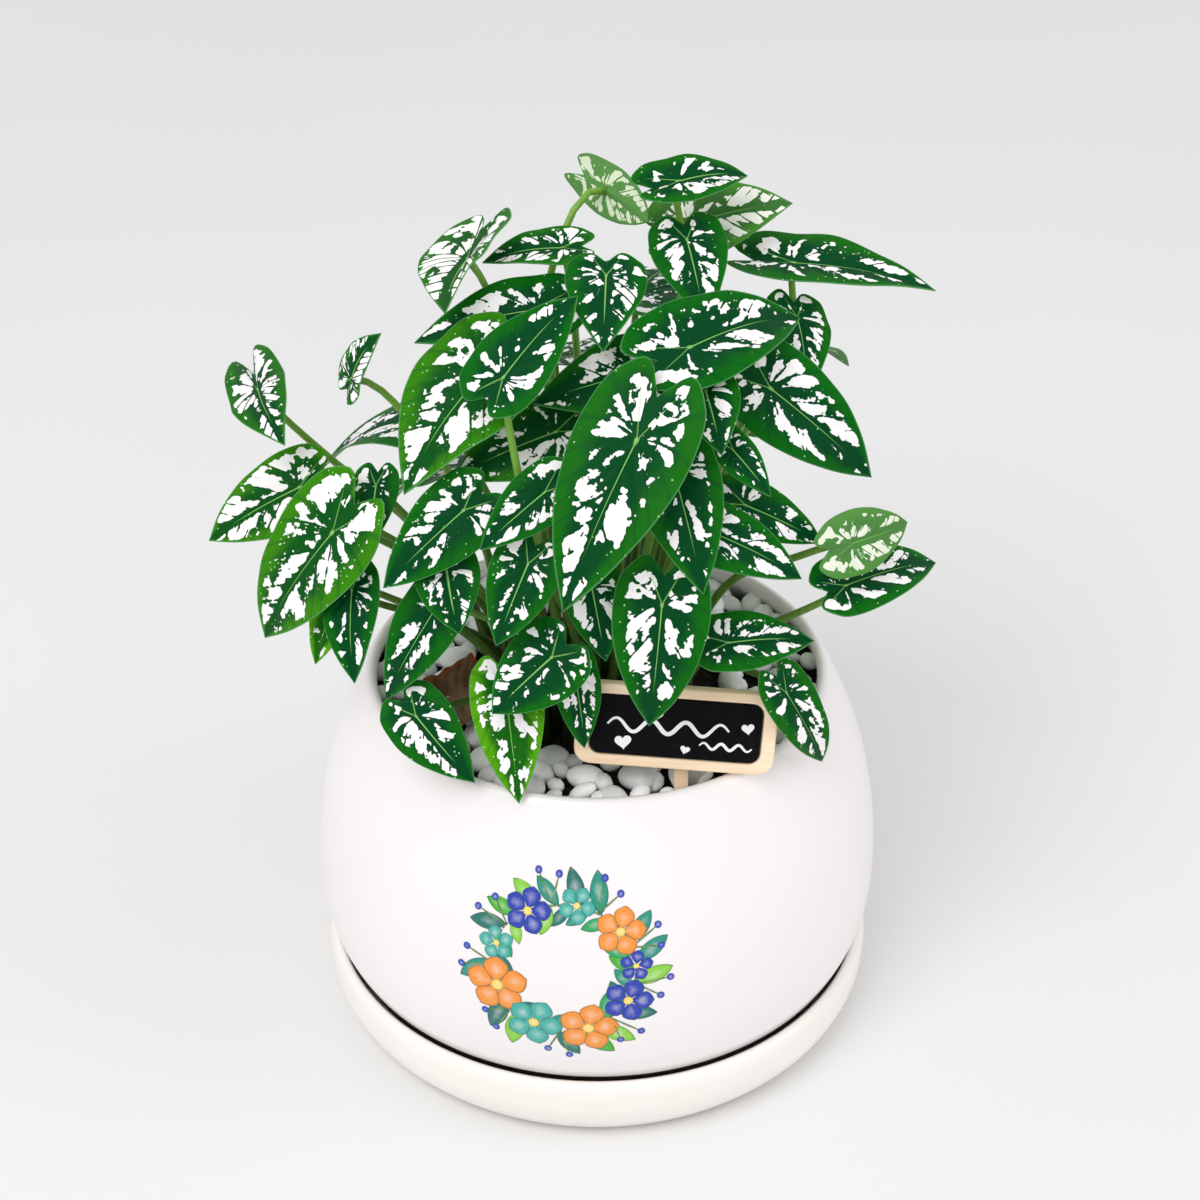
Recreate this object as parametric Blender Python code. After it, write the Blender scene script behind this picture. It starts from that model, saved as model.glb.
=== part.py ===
"""Potted caladium: a round-bellied pot in its saucer, with soil, pebbles, a small sign and fifty-two leaves.

Everything is worked out in millimetres and scaled to metres where a mesh is made. The origin is the centre of
the saucer's underside, +Z is up and the front of the pot faces -Y.

A leaf is one solid: its blade and the stalk below it. The leaves that the picture shows are placed by sight
lines: a row of the table names where the leaf's joint and its tip stand in the picture, and both points start
on a rounded crown around the plant. From the front to the back, each blade then slides away from the viewer
until it clears the others. The stalks come last: each is bent until it finds a clear way down to the soil.
"""
import math

import bpy
import numpy as np
from mathutils.bvhtree import BVHTree

MM = 0.001
GAP = 0.3  # between pieces that touch

# Pot and saucer, as radius and height
POT_OUTSIDE = ((50, 5.3), (59.5, 6), (65, 10), (68.8, 16), (71.1, 21.2), (73.4, 26), (75.2, 31.5), (76.2, 39),
               (76.2, 50), (74.9, 63), (71.6, 78), (66.4, 92), (62.6, 99.8), (60.6, 103.3), (59, 103.6))
POT_INSIDE = ((58.2, 101.2), (60.9, 95), (67.2, 80), (70.9, 62), (70.9, 36), (66.4, 20.5), (60, 11))
POT_UNDERSIDE = ((6, 11), (6, 7.8), (44, 7.8), (45.5, 5.3))
SAUCER = ((0, 0), (67, 0), (70, 2.8), (73.6, 7.8), (75.1, 12), (75.4, 16), (75.2, 19.6), (74, 22),
          (72.3, 21.3), (71, 14), (69.2, 8.2), (65.8, 5), (0, 5))
ROUND_STEPS = 36

# Soil, and the pebbles in a thin round bed that holds them together
SOIL_TOP = 94
SOIL_FLOOR = 11.6
SOIL_RADIUS_LOW, SOIL_RADIUS_HIGH = 56, 60.4
BED_INNER, BED_OUTER, BED_THICK = 31, 57, 1.6
PEBBLE_SIZE = (3.5, 5)
PEBBLE_STRETCH = (1.12, 0.9, 0.74)
PEBBLE_LIFT = 0.35  # of its size, centre above the bed
PEBBLE_SPACING = 10.6
PEBBLE_TRIES = 1400
PEBBLE_MARGINS = (4, 4.2)  # kept free along the bed's inner and outer edge
STICK_MARGIN = 7

# Dead leaf that lies on the pebbles
DRY_LEAF = (30, 20, 0.8)
DRY_LEAF_GRID = (8, 6)
DRY_LEAF_TURN = 60
DRY_LEAF_AT = (-37, -17, 108)  # before it is let down onto the pebbles
REST_GAP = 0.45

# Sign: a plate with a sunk black board, and a stick behind it
PLATE = (49.5, 21.5, 3)
PLATE_CORNER = 4
BOARD = (42, 15.4, 0.7)
BOARD_CORNER = 2.6
RECESS = 0.9
CORNER_STEPS = 4
STICK = (3.4, 38, 1.6)
STICK_CORNER = 0.4
STICK_BELOW_TOP = 5  # its end under the plate's top edge
STICK_ASIDE = 1.5
SIGN_AT = (19.5, -47.5, 116.5)
SIGN_LEAN = 14
SIGN_ROLL = -4.5

# The viewpoint of the picture: picture coordinates in a square frame of 1200, lengths in millimetres
VIEW_DISTANCE = 650
VIEW_DROP = math.radians(33)
VIEW_TARGET_HEIGHT = 123
VIEW_SCALE = 2490
VIEW_CENTRE = (597, 600)

# Rounded crown on which the leaves start
CROWN_CENTRE = np.array((0, 2, 135))
CROWN_RADII = np.array((88, 66, 94))
MISSED = 60  # a line that misses the crown ends nearer by this for each whole share above 1
SLIDE_STEP = 1.5
SLIDE_BACK, SLIDE_FORTH = 60, 30
BACK_SLIDE = 40

# Blade: reach from the joint at these angles off the midrib, as a share of the distance from joint to tip
SPOKE_ANGLES = (0, 9, 28, 55, 95, 135, 163, 180)
SPOKE_REACH = (1, 0.83, 0.61, 0.47, 0.41, 0.46, 0.45, 0.26)
BLADE_THICK = 0.7
MIDDLE_RING = 0.55
COLLAR = 1.7  # radius of the ring round the joint that the stalk grows from
BLADE_CLEARANCE = 1.3
CUP = 0.45
WAVE = 0.02
WAVES = 5
BACK_ARCH, BACK_FOLD = 0.1, 0.2

# Stalk
STALK_TOP, STALK_FOOT = 0.85, 1.35
STALK_SIDES = 5
STALK_STEPS = 5
STALK_DROP = 0.9  # its first ring below the blade's underside
STALK_CLEARANCE = 0.6
HOLE_CLEARANCE = 0.9
ROOT_DEPTH = 7
FOOT_RISE = 1.8
ROOT_SPACING = 5.2
ROOT_CHOICES = 9
CROWN_FOOT = 29  # the stalks stand within this radius
FAR_JOINT = 80  # a joint this far out has its stalk's foot at that radius
STUB = 7

# Name, joint and tip in the picture, how far out on the crown each is, width, roll, arch, fold, lobes
PICTURE_LEAVES = (
    ("leaf_front_1", 637, 440, 562, 613, 1.10, 1.14, 0.80, -14, 0.07, 0.25, 0.95),
    ("leaf_right_1", 689, 348, 801, 317, 1.08, 1.02, 1.08, 34, 0.08, 0.30, 1.0),
    ("leaf_right_2", 706, 392, 722, 455, 1.00, 1.08, 1.25, 8, 0.08, 0.20, 0.9),
    ("leaf_front_2", 674, 472, 703, 595, 1.04, 1.12, 0.86, 8, 0.08, 0.25, 0.9),
    ("leaf_left_1", 503, 378, 578, 297, 1.10, 1.02, 0.88, 20, 0.08, 0.25, 0.75),
    ("leaf_left_2", 483, 374, 403, 494, 0.92, 1.00, 1.12, -34, 0.08, 0.30, 1.0),
    ("leaf_front_3", 662, 604, 649, 726, 1.00, 1.00, 0.95, 4, 0.08, 0.28, 0.8),
    ("leaf_front_4", 706, 530, 803, 579, 1.00, 1.00, 0.75, 18, 0.07, 0.25, 0.9),
    ("leaf_right_3", 770, 388, 873, 478, 1.00, 1.00, 0.82, 12, 0.07, 0.22, 0.85),
    ("leaf_top_1", 687, 240, 706, 325, 1.00, 0.96, 1.12, 6, 0.08, 0.18, 0.8),
    ("leaf_top_2", 793, 263, 935, 293, 1.00, 1.06, 0.78, 58, 0.05, 0.35, 1.0),
    ("leaf_top_3", 680, 181, 747, 177, 1.12, 1.12, 1.05, 42, 0.08, 0.30, 1.4),
    ("leaf_top_4", 690, 224, 793, 204, 0.95, 0.95, 1.00, 25, 0.08, 0.20, 1.0),
    ("leaf_top_5", 607, 190, 648, 222, 1.00, 1.00, 1.25, 160, 0.06, 0.20, 1.7),
    ("leaf_right_4", 733, 450, 771, 497, 0.98, 1.02, 0.80, 10, 0.08, 0.30, 1.0),
    ("leaf_right_5", 797, 318, 806, 398, 0.95, 0.98, 1.00, 22, 0.08, 0.20, 0.9),
    ("leaf_mid_1", 606, 276, 603, 352, 1.00, 1.04, 1.35, 0, 0.08, 0.18, 0.8),
    ("leaf_left_3", 468, 259, 444, 313, 1.00, 1.00, 1.85, -50, 0.08, 0.70, 2.2),
    ("leaf_left_4", 562, 248, 482, 262, 0.95, 0.95, 0.85, -50, 0.06, 0.30, 0.9),
    ("leaf_mid_2", 535, 310, 414, 343, 0.92, 0.95, 0.75, -30, 0.07, 0.20, 0.9),
    ("leaf_mid_3", 545, 492, 480, 550, 0.98, 1.00, 0.85, -8, 0.08, 0.22, 0.9),
    ("leaf_left_5", 464, 510, 384, 588, 0.98, 1.02, 0.85, -10, 0.08, 0.22, 0.75),
    ("leaf_left_6", 447, 572, 459, 634, 0.96, 1.00, 1.30, -12, 0.08, 0.30, 1.1),
    ("leaf_mid_4", 528, 564, 496, 646, 0.94, 0.98, 0.98, -6, 0.08, 0.22, 0.8),
    ("leaf_left_7", 436, 608, 386, 700, 0.92, 0.98, 0.75, -14, 0.08, 0.24, 0.8),
    ("leaf_low_1", 552, 657, 492, 714, 0.92, 0.97, 1.20, -6, 0.08, 0.18, 0.8),
    ("leaf_low_2", 575, 676, 584, 748, 0.84, 0.88, 0.80, 10, 0.08, 0.25, 0.9),
    ("leaf_low_3", 416, 716, 475, 783, 0.97, 1.03, 0.95, -10, 0.08, 0.22, 0.8),
    ("leaf_low_4", 506, 694, 519, 804, 0.76, 0.97, 0.80, 0, 0.08, 0.25, 0.8),
    ("leaf_side_1", 333, 532, 265, 638, 0.96, 1.04, 1.00, -26, 0.07, 0.28, 0.9),
    ("leaf_side_2", 300, 487, 209, 541, 0.90, 1.04, 0.95, -20, 0.07, 0.25, 0.8),
    ("leaf_side_3", 258, 390, 286, 447, 0.98, 1.03, 1.30, -12, 0.08, 0.20, 2.0),
    ("leaf_side_4", 352, 378, 381, 333, 0.95, 1.00, 1.15, 50, 0.08, 0.30, 0.9),
    ("leaf_side_5", 376, 486, 372, 548, 0.92, 0.98, 0.95, -15, 0.08, 0.22, 0.9),
    ("leaf_side_6", 352, 590, 354, 684, 0.92, 1.00, 0.80, -24, 0.07, 0.25, 0.8),
    ("leaf_side_7", 336, 600, 316, 664, 0.86, 0.94, 0.80, -20, 0.07, 0.20, 1.0),
    ("leaf_mid_5", 556, 432, 452, 480, 0.80, 0.86, 0.90, -20, 0.07, 0.20, 1.0),
    ("leaf_mid_6", 640, 372, 532, 404, 0.85, 0.88, 0.90, -10, 0.07, 0.20, 1.0),
    ("leaf_mid_7", 592, 588, 606, 662, 0.80, 0.86, 0.95, 0, 0.08, 0.20, 1.0),
    ("leaf_right_6", 745, 505, 822, 543, 0.90, 0.94, 0.80, 15, 0.07, 0.22, 0.9),
    ("leaf_side_8", 853, 543, 906, 522, 1.02, 1.02, 1.40, -15, 0.07, 0.20, 1.3),
    ("leaf_side_9", 845, 586, 937, 562, 0.96, 1.02, 0.85, 20, 0.08, 0.25, 0.6),
    ("leaf_low_5", 728, 643, 814, 641, 0.92, 0.94, 0.90, 22, 0.08, 0.25, 0.9),
    ("leaf_low_6", 786, 692, 823, 763, 0.86, 0.94, 0.78, 12, 0.08, 0.25, 0.7),
)

# Leaves of the hidden back: name, direction, distance and height of the joint, length, dip, width
BACK_LEAVES = (
    ("leaf_back_1", 72, 34, 196, 46, 22, 0.95),
    ("leaf_back_2", 40, 46, 182, 48, 24, 0.90),
    ("leaf_back_3", 105, 44, 172, 52, 34, 0.95),
    ("leaf_back_4", 150, 44, 164, 52, 32, 0.95),
    ("leaf_back_5", 70, 50, 146, 56, 44, 1.05),
    ("leaf_back_6", 98, 52, 130, 52, 44, 1.00),
    ("leaf_back_7", 132, 54, 140, 54, 42, 1.00),
    ("leaf_back_8", 46, 60, 152, 46, 36, 0.90),
)


def unit(vector):
    return vector / np.linalg.norm(vector)


# Viewpoint
EYE = np.array((0, -VIEW_DISTANCE * math.cos(VIEW_DROP),
                VIEW_TARGET_HEIGHT + VIEW_DISTANCE * math.sin(VIEW_DROP)))
FORWARD = np.array((0, math.cos(VIEW_DROP), -math.sin(VIEW_DROP)))
UPWARD = np.array((0, math.sin(VIEW_DROP), math.cos(VIEW_DROP)))


def sight(across, down):
    """Direction from the eye through a point of the picture."""
    side = (across - VIEW_CENTRE[0]) / VIEW_SCALE
    rise = (VIEW_CENTRE[1] - down) / VIEW_SCALE
    return unit(FORWARD + side * np.array((1, 0, 0)) + rise * UPWARD)


def on_crown(across, down, share):
    """Where the sight line meets the front of the crown, or passes nearest to its centre."""
    ray = sight(across, down)
    start = (EYE - CROWN_CENTRE) / (CROWN_RADII * share)
    way = ray / (CROWN_RADII * share)
    middle = -(start @ way) / (way @ way)
    spare = middle**2 - (start @ start - 1) / (way @ way)
    return EYE + ray * (middle - (math.sqrt(spare) if spare > 0 else MISSED * (share - 1)))


# Mesh helpers
def zipped(one, two):
    """Triangles between two closed rings of points, which may differ in number; one point makes a fan."""
    faces = []
    i = j = 0
    while i < len(one) or j < len(two):
        if j >= len(two) or (i < len(one) and (i + 1) / len(one) <= (j + 1) / len(two)):
            face = (one[i % len(one)], two[j % len(two)], one[(i + 1) % len(one)])
            i += 1
        else:
            face = (one[i % len(one)], two[j % len(two)], two[(j + 1) % len(two)])
            j += 1
        if len(set(face)) == 3:
            faces.append(face)
    return faces


def outward(points, faces):
    """The faces turned so that the solid's volume is positive."""
    corners = np.asarray(points)[np.asarray(faces)]
    volume = np.einsum("ij,ij->i", corners[:, 0], np.cross(corners[:, 1], corners[:, 2])).sum()
    return [tuple(reversed(face)) for face in faces] if volume < 0 else faces


def solid(name, points, faces, material=None, smooth=False):
    """An object from points in millimetres and triangles."""
    mesh = bpy.data.meshes.new(name)
    mesh.from_pydata([tuple(float(c) * MM for c in p) for p in points], [], outward(points, faces))
    mesh.polygons.foreach_set("use_smooth", [smooth] * len(mesh.polygons))
    made = bpy.data.objects.new(name, mesh)
    bpy.context.scene.collection.objects.link(made)
    if material:
        mesh.materials.append(material)
    return made


def turned(profile, steps):
    """Points and triangles of a solid turned about the axis from a closed profile of radius and height."""
    points, faces, rings = [], [], []
    for radius, height in profile:
        angles = np.arange(1 if radius == 0 else steps) * math.tau / steps
        rings.append([len(points) + k for k in range(len(angles))])
        points += [(radius * math.cos(a), radius * math.sin(a), height) for a in angles]
    for one, two in zip(rings, rings[1:] + rings[:1]):
        if len(one) + len(two) > 2:
            faces += zipped(one, two)
    return points, faces


def surface(name, colour, roughness):
    """A plain material; the colour is given as it looks on a screen."""
    material = bpy.data.materials.new(name)
    material.use_nodes = True
    shader = material.node_tree.nodes["Principled BSDF"]
    linear = [c / 12.92 if c <= 0.04045 else ((c + 0.055) / 1.055) ** 2.4 for c in colour]
    shader.inputs["Base Color"].default_value = (*linear, 1)
    shader.inputs["Roughness"].default_value = roughness
    return material


# Leaf blades
def reach(angle):
    """Distance from the joint to the margin at an angle off the midrib, as a share of the leaf's length."""
    return np.interp(np.abs(angle), np.radians(SPOKE_ANGLES), SPOKE_REACH)


def height(leaf, x, y):
    """How far the blade's middle surface stands off its plane, all as shares of the leaf's length."""
    stem = np.where(y > 0, 4 * y * (1 - y), 2.4 * y)
    angle = np.arctan2(x / leaf["width"], y / np.where(y < 0, leaf["lobes"], 1))
    share = np.hypot(x, y) / reach(angle)
    ripple = WAVE * share**2 * np.sin(WAVES * angle + leaf["phase"])
    valley = leaf["fold"] * (np.sqrt(x**2 + 0.0016) - 0.04)
    return leaf["arch"] * stem + valley - CUP * x**2 + ripple


def on_blade(leaf, angle, share, lift):
    """Points of the blade: share 0 is the joint and 1 the margin, lift is along the surface normal."""
    reached = reach(angle) * share
    x = reached * np.sin(angle) * leaf["width"]
    y = reached * np.cos(angle)
    y = np.where(y < 0, y * leaf["lobes"], y)
    step = 0.004
    slope_x = (height(leaf, x + step, y) - height(leaf, x - step, y)) / (2 * step)
    slope_y = (height(leaf, x, y + step) - height(leaf, x, y - step)) / (2 * step)
    local = np.stack([x, y, height(leaf, x, y)], axis=-1) * leaf["length"]
    normal = np.stack([-slope_x, -slope_y, np.ones_like(x)], axis=-1)
    local += lift * normal / np.linalg.norm(normal, axis=-1, keepdims=True)
    return leaf["joint"] + local @ leaf["axes"]


def spokes():
    half = np.radians(SPOKE_ANGLES)
    return np.concatenate([half, -half[-2:0:-1]])


def blade(leaf, thick):
    """Points and triangles of a blade that is closed except under its collar, and the collar's ring."""
    angles = spokes()
    count = len(angles)
    points = [on_blade(leaf, np.zeros(1), np.zeros(1), thick / 2)[0]]
    rings = []
    for side in (1, -1):
        for share in (COLLAR / (leaf["length"] * reach(angles)), MIDDLE_RING, 1):
            share = np.broadcast_to(share, angles.shape)
            rings.append([len(points) + k for k in range(count)])
            points += list(on_blade(leaf, angles, share, side * thick / 2))
    top, under = rings[:3], rings[3:]
    faces = zipped([0], top[0])
    for one, two in ((top[0], top[1]), (top[1], top[2]), (top[2], under[2]), (under[2], under[1]),
                     (under[1], under[0])):
        faces += zipped(one, two)
    return points, faces, under[0]


def closed_blade(leaf, thick):
    """A blade closed under its collar too, with a short stub of stalk, for clearance tests."""
    points, faces, ring = blade(leaf, thick)
    points.append(leaf["joint"] + STUB * leaf["departure"])
    return points, faces + zipped(ring, [len(points) - 1])


def leaf_at(name, joint, tip, facing, width, roll, arch, fold, lobes, phase):
    """A leaf from its two ends; its upper face looks along facing, then turns by roll about the midrib."""
    along = unit(tip - joint)
    up = unit(facing - (facing @ along) * along)
    across = np.cross(up, along)
    turn = math.radians(roll)
    normal = up * math.cos(turn) + across * math.sin(turn)
    length = np.linalg.norm(tip - joint)
    seen = math.sqrt(1 - (along @ unit(facing))**2)
    axes = np.array((np.cross(normal, along), along, normal))
    to_foot = unit(np.array((0, 0, SOIL_TOP)) + 0.3 * joint * (1, 1, 0) - joint)
    return {"name": name, "joint": joint, "length": length, "width": width * seen, "arch": arch, "fold": fold,
            "lobes": lobes, "phase": phase, "axes": axes, "departure": unit(to_foot - normal)}


def picture_options(row, phase):
    """Placings of a leaf of the picture: where it starts, then further back by sight lines, then nearer."""
    name, ju, jv, tu, tv, joint_share, tip_share, width, roll, arch, fold, lobes = row
    joint, tip = on_crown(ju, jv, joint_share), on_crown(tu, tv, tip_share)
    slides = [*np.arange(0, SLIDE_BACK, SLIDE_STEP), *-np.arange(SLIDE_STEP, SLIDE_FORTH, SLIDE_STEP)]
    for back in slides:
        near = joint + back * sight(ju, jv)
        far = tip + back * sight(tu, tv)
        yield leaf_at(name, near, far, EYE - near, width, roll, arch, fold, lobes, phase)


def back_options(row, phase):
    """Placings of a leaf of the hidden back: where its row has it, then further out."""
    name, azimuth, distance, rise, length, dip, width = row
    upward = np.array((0, 0, 1))
    out = np.array((math.cos(math.radians(azimuth)), math.sin(math.radians(azimuth)), 0))
    aim = out * math.cos(math.radians(dip)) - upward * math.sin(math.radians(dip))
    for further in np.arange(0, BACK_SLIDE, SLIDE_STEP):
        joint = out * (distance + further) + upward * rise
        yield leaf_at(name, joint, joint + length * aim, upward, width, 0, BACK_ARCH, BACK_FOLD, 1, phase)


# Clearance tests
def tree_of(shapes):
    points, faces = [], []
    for shape_points, shape_faces in shapes:
        faces += [tuple(i + len(points) for i in face) for face in shape_faces]
        points += [tuple(p) for p in shape_points]
    return BVHTree.FromPolygons(points, faces)


def touches(shape, tree):
    return len(tree_of([shape]).overlap(tree))


def shape_of(made):
    made.data.calc_loop_triangles()
    return ([tuple(c / MM for c in v.co) for v in made.data.vertices],
            [tuple(t.vertices) for t in made.data.loop_triangles])


def in_soil(points):
    """Whether a point lies over the pot's opening and lower than just above the soil."""
    points = np.array(points)
    inside = np.hypot(points[:, 0], points[:, 1]) < BED_OUTER + 3
    return bool((inside & (points[:, 2] < SOIL_TOP + 3)).any())


def slid(options, tree):
    """The first of the options that clears everything in the tree, or the one that touches least."""
    best, least = None, None
    for leaf in options:
        shape = closed_blade(leaf, BLADE_THICK + 2 * BLADE_CLEARANCE)
        count = touches(shape, tree) + 1000 * in_soil(shape[0])
        if count == 0:
            return leaf
        if least is None or count < least:
            best, least = leaf, count
    print("blade not clear:", best["name"], least)
    return best


# Stalks
def stalk_line(leaf, root, bend, steps):
    """Middle line of a stalk from under the collar down to the bottom of its hole."""
    departure, pull, rise = bend
    start = leaf["joint"] - leaf["axes"][2] * (BLADE_THICK / 2 + STALK_DROP)
    foot = np.array((*root, SOIL_TOP + FOOT_RISE))
    far = np.linalg.norm(foot - start)
    hold = start + departure * pull * far
    stand = foot + np.array((0, 0, rise * far))
    t = np.linspace(0, 1, steps)[:, None]
    line = (1 - t)**3 * start + 3 * (1 - t)**2 * t * hold + 3 * (1 - t) * t**2 * stand + t**3 * foot
    return np.vstack([line, foot - (0, 0, ROOT_DEPTH + FOOT_RISE)])


def stalk(leaf, line, spread, sides):
    """Points and rings of a stalk; its first ring lies in the plane of the blade, turned with its spokes."""
    angles = np.arange(sides) * math.tau / sides
    side, along = leaf["axes"][0], leaf["axes"][1]
    points, rings = [], []
    radii = np.linspace(STALK_TOP, STALK_FOOT, len(line)) + spread
    for k, (centre, radius) in enumerate(zip(line, radii)):
        if k:
            way = unit(line[k + 1] - line[k - 1]) if k < len(line) - 2 else np.array((0, 0, -1))
            along = unit(along - (along @ way) * way)
            side = np.cross(along, way)
        rings.append([len(points) + n for n in range(sides)])
        points += [centre + radius * (math.sin(a) * side + math.cos(a) * along) for a in angles]
    return points, rings


def stalk_shape(leaf, line, spread, first):
    """A closed stalk for clearance tests, from its ring number first down."""
    points, rings = stalk(leaf, line, spread, STALK_SIDES)
    faces = [tuple(rings[first]), tuple(reversed(rings[-1]))]
    for one, two in zip(rings[first:], rings[first + 1:]):
        faces += zipped(one, two)
    return points, faces


def root_spots():
    """Places for the feet of the stalks, on a staggered grid."""
    spots = []
    for row in range(-7, 8):
        for column in range(-7, 8):
            spot = np.array((column + 0.5 * (row % 2), row * 0.866)) * ROOT_SPACING
            if np.linalg.norm(spot) < CROWN_FOOT:
                spots.append(spot)
    return spots


def bends(leaf):
    """Ways for a stalk to leave the blade and to stand on the soil, the plainest first."""
    side, along, normal = leaf["axes"]
    for pull in (0.35, 0.2, 0.5):
        for rise in (0.45, 0.25, 0.65):
            yield leaf["departure"], pull, rise
    for pull in (0.15, 0.3):
        for turn in range(8):
            lean = math.cos(turn * math.tau / 8) * side + math.sin(turn * math.tau / 8) * along
            for rise in (0.45, 0.2):
                yield unit(lean - 0.8 * normal), pull, rise


def grown(leaf, spots, tree):
    """The root spot and the line of the first clear stalk, or of the one that touches least."""
    outer = leaf["joint"][:2]
    wanted = unit(outer) * CROWN_FOOT * min(1, np.linalg.norm(outer) / FAR_JOINT)
    own = tree_of([blade(leaf, BLADE_THICK)[:2]])
    best, least = None, None
    for spot in sorted(spots, key=lambda s: np.linalg.norm(s - wanted))[:ROOT_CHOICES]:
        for bend in bends(leaf):
            line = stalk_line(leaf, spot, bend, STALK_STEPS)
            count = touches(stalk_shape(leaf, line, STALK_CLEARANCE, 0), tree)
            if count == 0:
                count = touches(stalk_shape(leaf, line, STALK_CLEARANCE, 1), own)
            if count == 0:
                return spot, line
            if least is None or count < least:
                best, least = (spot, line), count
    print("stalk not clear:", leaf["name"], least)
    return best


def leaf_solid(leaf, line):
    """A blade and its stalk as one closed solid."""
    points, faces, collar = blade(leaf, BLADE_THICK)
    tube, rings = stalk(leaf, line, 0, STALK_SIDES)
    rings = [[i + len(points) for i in ring] for ring in rings]
    points = points + tube
    faces = faces + zipped(collar, rings[0])
    for one, two in zip(rings, rings[1:]):
        faces += zipped(one, two)
    points.append(line[-1])
    return points, faces + zipped(rings[-1], [len(points) - 1])


# Cutting and joining
def cut(made, cutter, operation="DIFFERENCE"):
    """Applies one Boolean to an object and removes the other one."""
    step = made.modifiers.new(operation.lower(), "BOOLEAN")
    step.operation = operation
    step.object = cutter
    graph = bpy.context.evaluated_depsgraph_get()
    mesh = bpy.data.meshes.new_from_object(made.evaluated_get(graph))
    made.modifiers.clear()
    made.data = mesh
    bpy.data.objects.remove(cutter)


def flattened(made):
    """Merges the triangles of each flat area into one face."""
    step = made.modifiers.new("flat areas", "DECIMATE")
    step.decimate_type = "DISSOLVE"
    step.angle_limit = math.radians(0.2)


def joined(shapes):
    """One list of points and one of faces from several separate shapes."""
    points, faces = [], []
    for shape_points, shape_faces in shapes:
        faces += [tuple(i + len(points) for i in face) for face in outward(shape_points, shape_faces)]
        points += list(shape_points)
    return points, faces


def rod(centre, radius, low, high, sides):
    """An upright rod as points and triangles."""
    angles = np.arange(sides) * math.tau / sides
    points = [(centre[0] + radius * math.cos(a), centre[1] + radius * math.sin(a), z)
              for z in (low, high) for a in angles]
    points += [(*centre, low), (*centre, high)]
    bottom, top = list(range(sides)), list(range(sides, 2 * sides))
    return points, zipped([2 * sides], bottom) + zipped(bottom, top) + zipped(top, [2 * sides + 1])


# Sign
def slab(size, corner, front, steps=CORNER_STEPS):
    """A plate with rounded corners in the sign's own plane; front is the height of its front face."""
    wide, tall, thick = size
    outline = []
    for quarter in range(4):
        middle = (math.copysign(wide / 2 - corner, (1, -1, -1, 1)[quarter]),
                  math.copysign(tall / 2 - corner, (1, 1, -1, -1)[quarter]))
        for step in range(steps + 1):
            angle = (quarter + step / steps) * math.pi / 2
            outline.append((middle[0] + corner * math.cos(angle), middle[1] + corner * math.sin(angle)))
    points = [(x, y, z) for z in (front - thick, front) for x, y in outline]
    points += [(0, 0, front - thick), (0, 0, front)]
    count = len(outline)
    bottom, top = list(range(count)), list(range(count, 2 * count))
    return points, zipped([2 * count], bottom) + zipped(bottom, top) + zipped(top, [2 * count + 1])


def on_sign(shape):
    """A shape of the sign's own plane moved to where the sign stands."""
    points, faces = shape
    lean, roll = math.radians(90 - SIGN_LEAN), math.radians(SIGN_ROLL)
    placed = []
    for x, y, z in points:
        x, y = x * math.cos(roll) - y * math.sin(roll), x * math.sin(roll) + y * math.cos(roll)
        y, z = y * math.cos(lean) - z * math.sin(lean), y * math.sin(lean) + z * math.cos(lean)
        placed.append((x + SIGN_AT[0], y + SIGN_AT[1], z + SIGN_AT[2]))
    return placed, faces


def stick_shape(spread):
    """The stick behind the plate, wider by spread all round."""
    size = [side + 2 * spread for side in STICK]
    points, faces = slab(size, STICK_CORNER, spread - GAP - PLATE[2] / 2, steps=1)
    upright = math.radians(-SIGN_ROLL)
    moved = []
    for x, y, z in points:
        y += PLATE[1] / 2 - STICK_BELOW_TOP - STICK[1] / 2
        moved.append((x * math.cos(upright) - y * math.sin(upright) + STICK_ASIDE,
                      x * math.sin(upright) + y * math.cos(upright), z))
    return on_sign((moved, faces))


# Pebbles
def pebble(centre, size, rng):
    """A rough pebble of twenty faces."""
    golden = (1 + math.sqrt(5)) / 2
    corners = []
    for a in (-1, 1):
        for b in (-golden, golden):
            corners += [(0, a, b), (a, b, 0), (b, 0, a)]
    corners = np.array(corners) / math.hypot(1, golden)
    faces = []
    for i in range(12):
        for j in range(i + 1, 12):
            for k in range(j + 1, 12):
                sides = [np.linalg.norm(corners[p] - corners[q]) for p, q in ((i, j), (j, k), (i, k))]
                if max(sides) < 1.1:
                    normal = np.cross(corners[j] - corners[i], corners[k] - corners[i])
                    faces.append((i, j, k) if normal @ corners[i] > 0 else (i, k, j))
    turn = rng.uniform(0, math.tau)
    spin = np.array(((math.cos(turn), -math.sin(turn), 0), (math.sin(turn), math.cos(turn), 0), (0, 0, 1)))
    stretch = np.array(PEBBLE_STRETCH) * rng.uniform(0.9, 1.1, 3)
    rough = corners * rng.uniform(0.9, 1.1, (12, 1)) * stretch * size
    return rough @ spin.T + centre, faces


def pebble_places(rng, avoid):
    """Seeded places on the bed, never nearer to each other than the spacing."""
    places = []
    inner, outer = BED_INNER + PEBBLE_MARGINS[0], BED_OUTER - PEBBLE_MARGINS[1]
    for _ in range(PEBBLE_TRIES):
        radius = math.sqrt(rng.uniform(inner**2, outer**2))
        angle = rng.uniform(0, math.tau)
        place = np.array((radius * math.cos(angle), radius * math.sin(angle)))
        near = [np.linalg.norm(place - other) < PEBBLE_SPACING for other in places]
        near += [np.linalg.norm(place - other) < clear for other, clear in avoid]
        if not any(near):
            places.append(place)
    return places


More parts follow.
